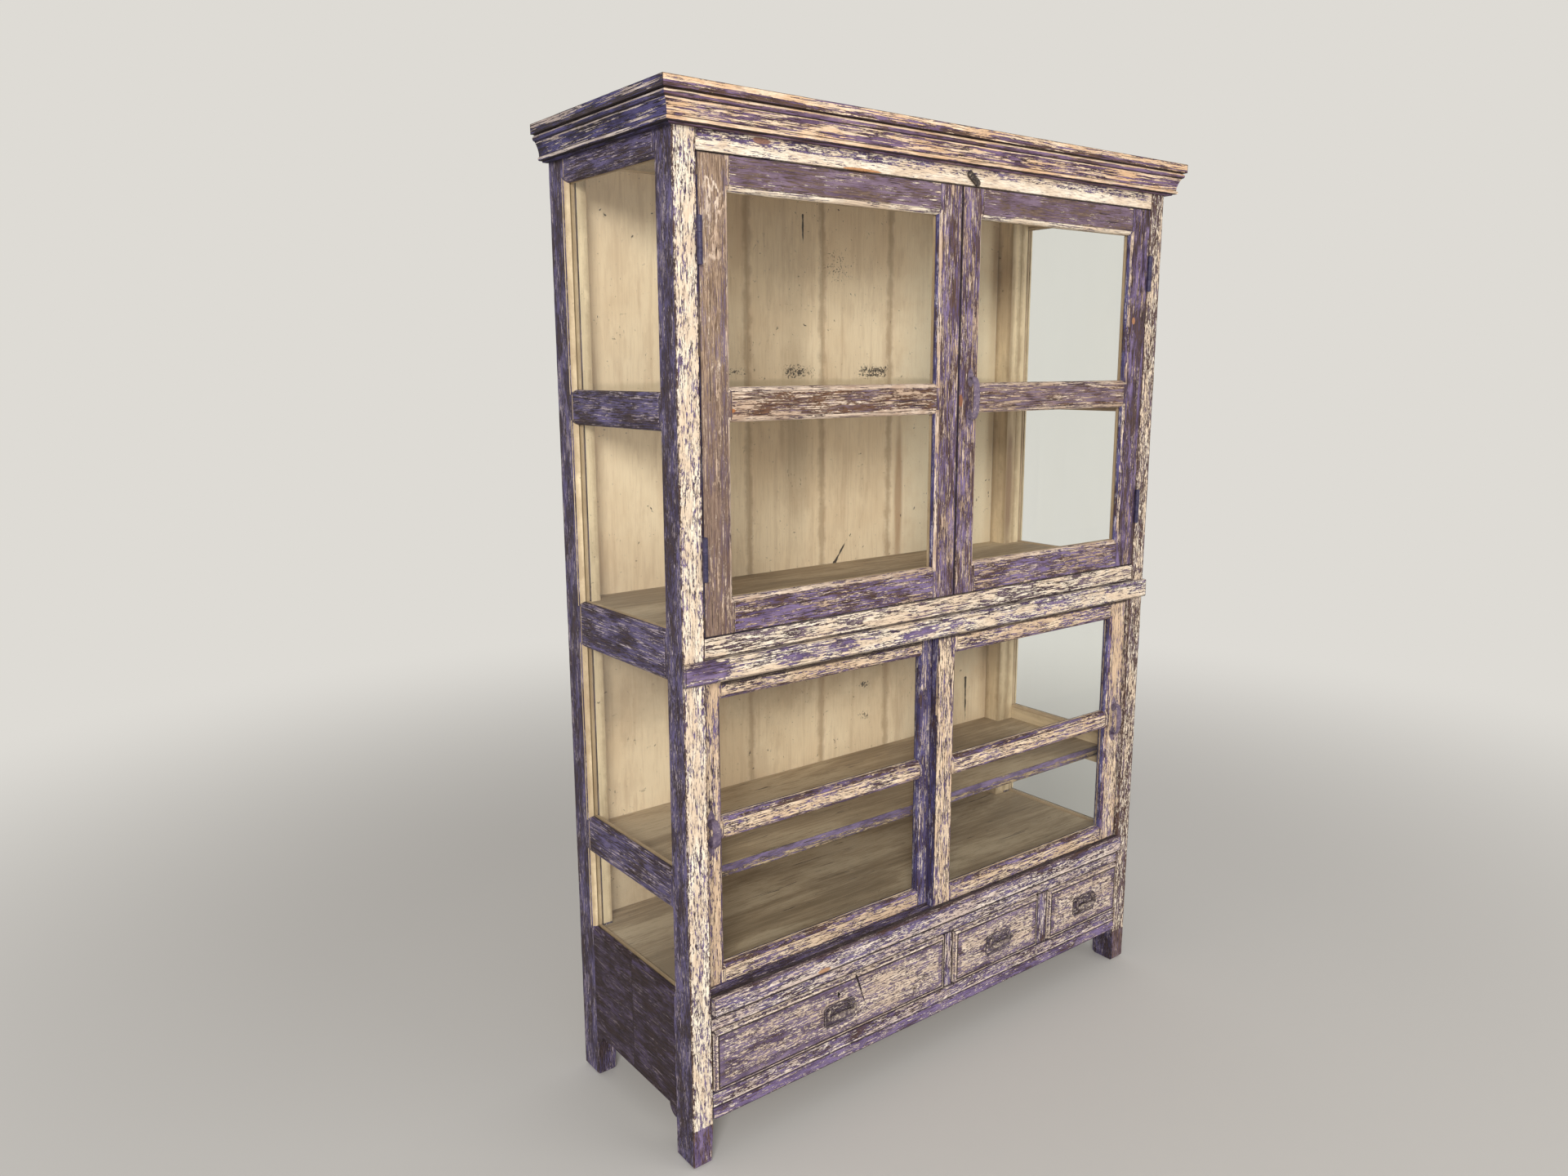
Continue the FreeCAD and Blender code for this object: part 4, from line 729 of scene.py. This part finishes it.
def dress(node, look, bevel=0.0008, wear=0.0006, grain_axis=None, grain=0.06):
    """Replaces a wooden node with a worn copy; look is a name, or gives one for each face."""
    points, faces, picks, used = [], [], [], []
    facts = {"seed": [], "stretch": [], "low": [], "high": []}
    shares = {"mould": [], "arris": []}
    for number, (raw_points, raw_faces) in enumerate(islands(node)):
        (spots, normals, polys, arris, face_normals, centres, low, high,
         axis) = dressed_solid(raw_points, raw_faces, bevel)
        seed = (sum(ord(c) for c in node) % 97) / 9.7 + number * 1.37
        gaps = np.sort(np.minimum(spots - low, high - spots), axis=1)
        near = np.clip(1 - gaps[:, 1] / WEAR_REACH, 0, 1)
        rough = hash_noise(spots, WEAR_WAVE, seed) * 0.7 + \
            hash_noise(spots, WEAR_WAVE / 3, seed + 2) * 0.5
        bite = np.clip(rough - 0.35, 0, 1) * near * wear
        start = len(points)
        points.extend((spots - normals * bite[:, None]).tolist())
        faces.extend([[start + i for i in poly] for poly in polys])
        slanted = (np.abs(face_normals).max(axis=1) < SLANTED) & (arris == 0)
        shares["mould"].extend(slanted.astype(float).tolist())
        shares["arris"].extend(arris.astype(float).tolist())
        for centre, normal in zip(centres, face_normals):
            name = look(centre, normal, low, high) if callable(look) else look
            if name not in used:
                used.append(name)
            picks.append(used.index(name))
        stretch = [1.0, 1.0, 1.0]
        stretch[axis if grain_axis is None else grain_axis] = grain
        for key, value in (("seed", (seed, seed * 0.7, seed * 1.3)), ("stretch", stretch),
                           ("low", low), ("high", high)):
            facts[key].extend([tuple(value)] * len(spots))
    mesh = bpy.data.meshes.new(node + "_worn")
    mesh.from_pydata(points, [], faces)
    for key, values in facts.items():
        layer = mesh.attributes.new(key, "FLOAT_VECTOR", "POINT")
        layer.data.foreach_set("vector", np.array(values, np.float32).ravel())
    for key, values in shares.items():
        layer = mesh.attributes.new(key, "FLOAT", "FACE")
        layer.data.foreach_set("value", np.array(values, np.float32))
    for name in used:
        mesh.materials.append(looks[name])
    mesh.polygons.foreach_set("material_index", picks)
    mesh.polygons.foreach_set("use_smooth", [True] * len(mesh.polygons))
    mesh.update()
    mesh.set_sharp_from_angle(angle=SMOOTH_ANGLE)
    piece = added(node + "_worn", mesh)
    piece.modifiers.new("even", "WEIGHTED_NORMAL").keep_sharp = True
    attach(piece, nodes[node]["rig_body"])
    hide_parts(node)


# Looks by face: each gets the face's centre and normal, and its board's low and high corner

def front_frame(pick, edge="edge"):
    """Front faces by pick; the back and the faces in panes' openings have their own looks."""
    def look(centre, normal, low, high):
        if normal[Y] > 0.5:
            return "inner"
        if abs(normal[Y]) < 0.3 and centre[Y] > low[Y] + REBATE_DEPTH:
            return edge
        if abs(normal[X]) > 0.72 and centre[Y] > low[Y] + ARRIS_DEPTH:
            return edge
        return pick(low, high) if callable(pick) else pick
    return look


def outward(low, high):
    """-1 for a board on the left, 1 for one on the right."""
    return -1 if low[X] + high[X] < 0 else 1


def outside_in(outer):
    """Boards of a side: outer, but pale towards the room inside."""
    def look(centre, normal, low, high):
        inward = normal[X] * outward(low, high) < -0.5 and centre[Y] > FRONT_Y + FRAME_DEPTH
        return "inner" if inward else outer
    return look


def front_post(centre, normal, low, high):
    """Front faces cream, outer faces violet, faces towards the inside pale."""
    side = outward(low, high)
    front = "post" if side < 0 else "right_post"
    if normal[Y] < -0.6:
        return front
    if normal[X] * side > 0.5 or centre[Z] < FOOT_Z:
        return "side"
    return "inner" if centre[Y] > POST_INSIDE_Y and centre[Z] > LOW_FLOOR_Z else front


def back_post(centre, normal, low, high):
    inward = normal[Y] < -0.5 or normal[X] * outward(low, high) < -0.5
    return "inner" if inward and centre[Z] > LOW_FLOOR_Z else "side"


def cornice_strip(centre, normal, low, high):
    return "cornice_front" if high[X] - low[X] > LONG_STRIP else "cornice_side"


def sill_nosing(centre, normal, low, high):
    return "sill_top" if normal[Z] > 0.6 else "sill"


def shelf_board(centre, normal, low, high):
    return "shelf_edge" if normal[Y] < -0.5 else "shelf"


def drawer_front(centre, normal, low, high):
    return "drawer" if centre[Y] < DRAWER_FACE_Y else "bare"


def back_board(centre, normal, low, high):
    return "back" if normal[Y] < 0.5 else "bare"


def door_stile(low, high):
    middle = (low[X] + high[X]) / 2
    if middle < -OUTER_STILE_X:
        return "hinge_stile"
    return "right_stile" if middle > OUTER_STILE_X else "meeting_stile"


def door_rail(low, high):
    middle = (low[Z] + high[Z]) / 2
    if middle > TOP_RAIL_Z:
        return "door_top"
    return "door_rail" if middle > LOW_RAIL_Z else "door_low"


def slider_stile(low, high):
    """The stile of the inner door beside the outer door kept its violet paint."""
    meets = MEETING_XS[0] < low[X] < MEETING_XS[1] and low[Y] > OUTER_SLIDER_Y
    return "slider_violet" if meets else "slider"


dress("cornice", cornice_strip, wear=0.0009, grain=0.028)
dress("frieze_rail", front_frame("frieze", "side"))
dress("waist_rail", front_frame("waist"))
dress("waist_moulding", "waist_moulding", wear=0.0009)
dress("sill_rail", front_frame("sill", "side"))
dress("sill_moulding", sill_nosing, wear=0.0012)
dress("bottom_rail", front_frame("bottom_rail", "side"))
dress("drawer_dividers", "divider")
dress("front_left_post", front_post, wear=0.0026, grain=0.1)
dress("front_right_post", front_post, wear=0.0026, grain=0.1)
dress("back_posts", back_post, wear=0.0012)
dress("side_rails", outside_in("side"), grain=0.038)
dress("side_panels", outside_in("panel"), grain_axis=1, grain=0.05)
dress("side_glazing_beads", "bead", bevel=0.0004, wear=0.0002)
dress("top_board", "bare")
dress("back_boards", back_board, bevel=0.0005, wear=0.0003)
dress("inner_battens", "inner")
for name in ("upper_shelf", "waist_floor", "lower_shelf", "lower_floor"):
    dress(name, shelf_board)
dress("drawer_guides", "bare")
for side, rail in (("left", "slider_back"), ("right", "slider")):
    dress(side + "_door_stiles", front_frame(door_stile), grain=0.038)
    dress(side + "_door_rails", front_frame(door_rail), grain=0.038)
    dress(side + "_door_glazing_beads", "bead", bevel=0.0004, wear=0.0002)
    dress(side + "_slider_stiles", front_frame(slider_stile), grain=0.05)
    dress(side + "_slider_rails", front_frame(rail), grain=0.05)
for number in (1, 2, 3):
    dress("drawer_%d_front" % number, drawer_front)
    dress("drawer_%d_box" % number, "bare", bevel=0.0005)
    dress("drawer_%d_plate" % number, "plate", bevel=0.0004, wear=0.0002)
for name in ("hinge_frame_leaves", "left_door_hinge_leaves", "right_door_hinge_leaves",
             "hinge_pins"):
    dress(name, "hinge_iron", bevel=0.0003, wear=0.0)
dress("turn_button", "black_iron", bevel=0.0011, wear=0.0)
for name in ("turn_button_screw", "drawer_1_lock_case", "drawer_1_lock_bolt"):
    dress(name, "black_iron", bevel=0.0003, wear=0.0)
for name, piece in nodes.items():
    if name.endswith("glass"):
        piece.data.materials.clear()
        piece.data.materials.append(glass)


# Handles and pulls

BAIL_PIVOT = (-0.2188, 0.222)
BAIL_XS = (-0.306, 0.173, 0.483)
BAIL_ARM_X = 0.036
BAIL_PIN_IN = 0.0235
BAIL_DROP = 0.018
BAIL_BEND = 0.006
BAIL_GAP = 0.0011
BEND_STEPS = 7
PIN_RADIUS = 0.0022
ARM_RADIUS = 0.003
GRIP_RADIUS = 0.006
GRIP_SHARE = 0.27
GRIP_BEADS = (-0.72, 0.72)
BEAD_RISE = 0.0009
BEAD_WIDTH = 0.045
PIN_SHARE = 0.085
NAIL_Y = -0.2118
NAIL_XS = (-0.034, 0.034)
NAIL_ZS = (0.181, 0.217)
PLATE_NAIL = (0.0023, 0.0011)
PULL_NAIL = (0.0021, 0.0013)
PULL_NAIL_OUT = 0.0115
NAIL_RINGS = 5
NAIL_SIDES = 16
PULL_REACH = 0.02
PULL_THICKNESS = 0.004
PULL_FLATNESS = 0.42
PULL_STEPS = 40
LEAF_LENGTH = 0.04
LEAF_WIDTH = 0.019
LEAF_THICKNESS = 0.0022
LEAF_RIB = 0.0005
LEAF_ROWS = 26
LEAF_COLUMNS = 12
LEAF_SHAPE = ((-0.5, 0.0), (-0.44, 0.22), (-0.28, 0.42), (-0.06, 0.5), (0.16, 0.42), (0.36, 0.2),
              (0.5, 0.0))


def rounded_line(corners, radius):
    """Line through corners, each turned in an arc-like curve of about radius."""
    line = [corners[0]]
    for before, corner, after in zip(corners, corners[1:], corners[2:]):
        start = corner + (before - corner).normalized() * radius
        end = corner + (after - corner).normalized() * radius
        for i in range(BEND_STEPS + 1):
            t = i / BEND_STEPS
            line.append(start * (1 - t) ** 2 + corner * (2 * t * (1 - t)) + end * t * t)
    return line + [corners[-1]]


def resampled(line, gap):
    """Points at even gaps along a line."""
    out = [line[0]]
    for a, b in zip(line, line[1:]):
        count = max(1, round((b - a).length / gap))
        out += [a.lerp(b, (i + 1) / count) for i in range(count)]
    return out


def swept(path, side, ring_at):
    """Points and faces of a bar along a flat path; ring_at(share) gives its outline."""
    points, faces = [], []
    last = len(path) - 1
    for i, spot in enumerate(path):
        ahead = path[min(i + 1, last)] - path[max(i - 1, 0)]
        other = ahead.normalized().cross(side).normalized()
        ring = ring_at(i / last)
        points += [spot + side * a + other * b for a, b in ring]
    size = len(ring)
    for i in range(last):
        for j in range(size):
            a, b = i * size + j, i * size + (j + 1) % size
            faces.append((a, b, b + size, a + size))
    faces.append(tuple(reversed(range(size))))
    faces.append(tuple(range(last * size, (last + 1) * size)))
    return points, faces


def superellipse(wide, thick, power, count=20):
    """Rounded outline, squarer as power grows."""
    out = []
    for i in range(count):
        turn = 2 * math.pi * i / count
        c, s = math.cos(turn), math.sin(turn)
        out.append((wide * math.copysign(abs(c) ** (2 / power), c),
                    thick * math.copysign(abs(s) ** (2 / power), s)))
    return out


def leaf_plate(centre, tip_up):
    """Crowned leaf with a rib down its middle, lying on a face at centre."""
    rows, columns = LEAF_ROWS, LEAF_COLUMNS
    points, faces = [], []
    for i in range(rows + 1):
        share = -0.5 + i / rows
        half = max(float(np.interp(share, *zip(*LEAF_SHAPE))), 0.012) * LEAF_WIDTH
        z = centre.z + tip_up * share * LEAF_LENGTH
        for j in range(columns + 1):
            across = -1 + 2 * j / columns
            crown = (1 - across * across) ** 0.6
            rib = math.exp(-(across / 0.16) ** 2) * min(1.0, half / 0.006)
            rise = LEAF_THICKNESS * (0.45 + 0.5 * crown) + LEAF_RIB * rib
            points.append(Vector((centre.x + across * half, centre.y - rise, z)))
    top = len(points)
    points += [Vector((point.x, centre.y, point.z)) for point in points]
    wide = columns + 1
    for i in range(rows):
        for j in range(columns):
            a = i * wide + j
            faces.append((a, a + 1, a + wide + 1, a + wide))
            faces.append((top + a + wide, top + a + wide + 1, top + a + 1, top + a))
        for a in (i * wide, i * wide + columns):
            faces.append((a, a + wide, top + a + wide, top + a))
    for start in (0, rows * wide):
        for j in range(columns):
            a = start + j
            faces.append((a, a + 1, top + a + 1, top + a))
    return points, faces


def nail_head(centre, radius, height):
    """Dome standing towards the front."""
    rings, sides = NAIL_RINGS, NAIL_SIDES
    points = [Vector((centre.x, centre.y - height, centre.z))]
    faces = []
    for i in range(1, rings + 1):
        turn = math.pi / 2 * i / rings
        for j in range(sides):
            angle = 2 * math.pi * j / sides
            points.append(Vector((centre.x + radius * math.sin(turn) * math.cos(angle),
                                  centre.y - height * math.cos(turn),
                                  centre.z + radius * math.sin(turn) * math.sin(angle))))
    for j in range(sides):
        faces.append((0, 1 + j, 1 + (j + 1) % sides))
    for i in range(rings - 1):
        for j in range(sides):
            a, b = 1 + i * sides + j, 1 + i * sides + (j + 1) % sides
            faces.append((a, a + sides, b + sides, b))
    faces.append(tuple(range(1 + (rings - 1) * sides, 1 + rings * sides)))
    return points, faces


def forged(name, parts, look, body, node=None, dent=0.00022):
    """Piece of iron from (points, faces) parts, slightly uneven like hand-forged work."""
    points, faces = [], []
    for part_points, part_faces in parts:
        start = len(points)
        points += part_points
        faces += [tuple(start + i for i in face) for face in part_faces]
    bm = bmesh.new()
    verts = [bm.verts.new(p) for p in points]
    for face in faces:
        bm.faces.new([verts[i] for i in face])
    bmesh.ops.remove_doubles(bm, verts=bm.verts, dist=WELD)
    bmesh.ops.recalc_face_normals(bm, faces=bm.faces)
    bm.normal_update()
    spots = np.array([v.co[:] for v in bm.verts])
    rough = hash_noise(spots, 0.006, len(name)) + hash_noise(spots, 0.0025, len(name) + 3.0) * 0.5
    for vert, bite in zip(bm.verts, rough):
        vert.co -= vert.normal * float(bite) * dent
    mesh = bpy.data.meshes.new(name)
    bm.to_mesh(mesh)
    bm.free()
    mesh.materials.append(looks[look])
    mesh.polygons.foreach_set("use_smooth", [True] * len(mesh.polygons))
    mesh.set_sharp_from_angle(angle=SMOOTH_ANGLE)
    piece = added(name, mesh)
    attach(piece, body)
    if node:
        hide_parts(node)


def bail_ring(share):
    """Outline of the handle's bar: thin pins, stout arms and a turned grip."""
    grip = (share - 0.5) / GRIP_SHARE
    if abs(grip) < 1:
        swell = 1 - grip * grip
        radius = ARM_RADIUS + (GRIP_RADIUS - ARM_RADIUS) * swell ** 0.7
        for bead in GRIP_BEADS:
            radius += BEAD_RISE * math.exp(-((grip - bead) / BEAD_WIDTH) ** 2)
        return superellipse(radius, radius, 2.0)
    if min(share, 1 - share) < PIN_SHARE:
        return superellipse(PIN_RADIUS, PIN_RADIUS, 2.0)
    return superellipse(ARM_RADIUS, ARM_RADIUS * 0.8, 2.4)


def drop_handle(number, x):
    y, z = BAIL_PIVOT
    half = ((BAIL_PIN_IN, 0), (BAIL_ARM_X, 0), (BAIL_ARM_X, BAIL_DROP))
    corners = [Vector((x - across, y, z - down)) for across, down in half]
    corners += [Vector((x + across, y, z - down)) for across, down in reversed(half)]
    path = resampled(rounded_line(corners, BAIL_BEND), BAIL_GAP)
    node = "drawer_%d_bail" % number
    forged(node + "_forged", [swept(path, Vector((0, 1, 0)), bail_ring)], "bail_iron", node, node)
    heads = [nail_head(Vector((x + nail_x, NAIL_Y, nail_z)), *PLATE_NAIL)
             for nail_x in NAIL_XS for nail_z in NAIL_ZS]
    forged("drawer_%d_nails" % number, heads, "iron", "drawer_%d" % number, dent=0.0001)


def bowed_pull(node, x, y, z, length):
    """Flat bowed strap that swells in its middle, on two leaf plates with nails."""
    body = nodes[node]["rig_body"]
    foot = length / 2 - LEAF_LENGTH / 2
    parts = [leaf_plate(Vector((x, y, z + side * foot)), side) for side in (-1, 1)]
    line = []
    for i in range(PULL_STEPS + 1):
        turn = math.pi * i / PULL_STEPS
        reach = (PULL_REACH - PULL_THICKNESS / 2) * math.sin(turn) ** PULL_FLATNESS
        line.append(Vector((x, y - LEAF_THICKNESS / 2 - reach, z - foot * math.cos(turn))))

    def ring_at(share):
        wide = 0.0052 + 0.0038 * math.sin(math.pi * share) ** 0.6
        return superellipse(wide, PULL_THICKNESS / 2 - 0.0004, 3.2, 36)

    parts.append(swept(line, Vector((1, 0, 0)), ring_at))
    for side in (-1, 1):
        at = Vector((x, y - LEAF_THICKNESS * 0.9, z + side * (foot + PULL_NAIL_OUT)))
        parts.append(nail_head(at, *PULL_NAIL))
    forged(node + "_forged", parts, "pull_iron", body, node)


for number, x in enumerate(BAIL_XS, 1):
    drop_handle(number, x)
bowed_pull("right_door_pull", 0.04, FRONT_Y, 1.44762, 0.124)
bowed_pull("left_slider_pull", -0.586, -0.1676, 0.6574, 0.092)
bowed_pull("right_slider_pull", 0.586, -0.192, 0.6574, 0.116)


# Stage, lamps and camera

def floor_material():
    """Plain pale floor that keeps shadows near the cabinet and fades into the backdrop."""
    net = Net("floor_pale")
    near = net.made("BsdfDiffuse", {"Color": FLOOR})
    far = net.made("Emission", {"Color": BACKDROP, "Strength": 1.0})
    share = net.step(net.vector("LENGTH", net.place()), 1.3, 4.2)
    seen = net.rays("Camera", "Glossy")
    return net.finish(net.made("MixShader", {0: share * seen, 1: near, 2: far}))


def pale_world():
    """Pale background, and dimmer even light on the object."""
    net = Net("pale", bpy.data.worlds)
    seen = net.made("Background", {"Color": BACKDROP, "Strength": 1.0})
    lit = net.made("Background", {"Color": WHITE, "Strength": 0.5})
    rays = net.rays("Camera", "Glossy", "Transmission")
    return net.finish(net.made("MixShader", {0: rays, 1: lit, 2: seen}), "World")


def floor():
    mesh = bpy.data.meshes.new("floor")
    mesh.from_pydata([(-30, -30, 0), (30, -30, 0), (30, 30, 0), (-30, 30, 0)], [],
                     [(0, 1, 2, 3)])
    mesh.materials.append(floor_material())
    plane = added("floor", mesh)


def area_lamp(name, at, target, size, power, mirrored=True):
    data = bpy.data.lights.new(name, "AREA")
    data.shape = "RECTANGLE"
    data.size, data.size_y = size
    data.energy = power
    lamp = added(name, data)
    lamp.location = at
    lamp.rotation_euler = (Vector(target) - Vector(at)).to_track_quat("-Z", "Y").to_euler()
    lamp.visible_glossy = mirrored


def camera():
    cos_pitch = math.cos(CAMERA_PITCH)
    forward = Vector((math.sin(CAMERA_YAW) * cos_pitch, math.cos(CAMERA_YAW) * cos_pitch,
                      math.sin(CAMERA_PITCH)))
    right = Vector((math.cos(CAMERA_YAW), -math.sin(CAMERA_YAW), 0))
    up = right.cross(forward)
    x_axis = right * math.cos(CAMERA_ROLL) + up * math.sin(CAMERA_ROLL)
    y_axis = up * math.cos(CAMERA_ROLL) - right * math.sin(CAMERA_ROLL)
    data = bpy.data.cameras.new("camera")
    data.lens = CAMERA_LENS
    data.sensor_width = SENSOR_WIDTH
    data.sensor_fit = "HORIZONTAL"
    made = added("camera", data)
    turn = Matrix((x_axis, y_axis, -forward)).transposed().to_4x4()
    made.matrix_world = Matrix.Translation(Vector(CAMERA_AT)) @ turn
    bpy.context.scene.camera = made


bpy.context.scene.world = pale_world()
floor()
area_lamp("key", (-4.6, -4.9, 3.4), (0, 0, 0.9), (2.0, 1.6), 325.0)
area_lamp("fill", (2.4, -5.2, 1.4), (0, 0, 0.7), (3.4, 2.8), 115.0, False)
camera()
bpy.context.scene.view_settings.view_transform = "Standard"
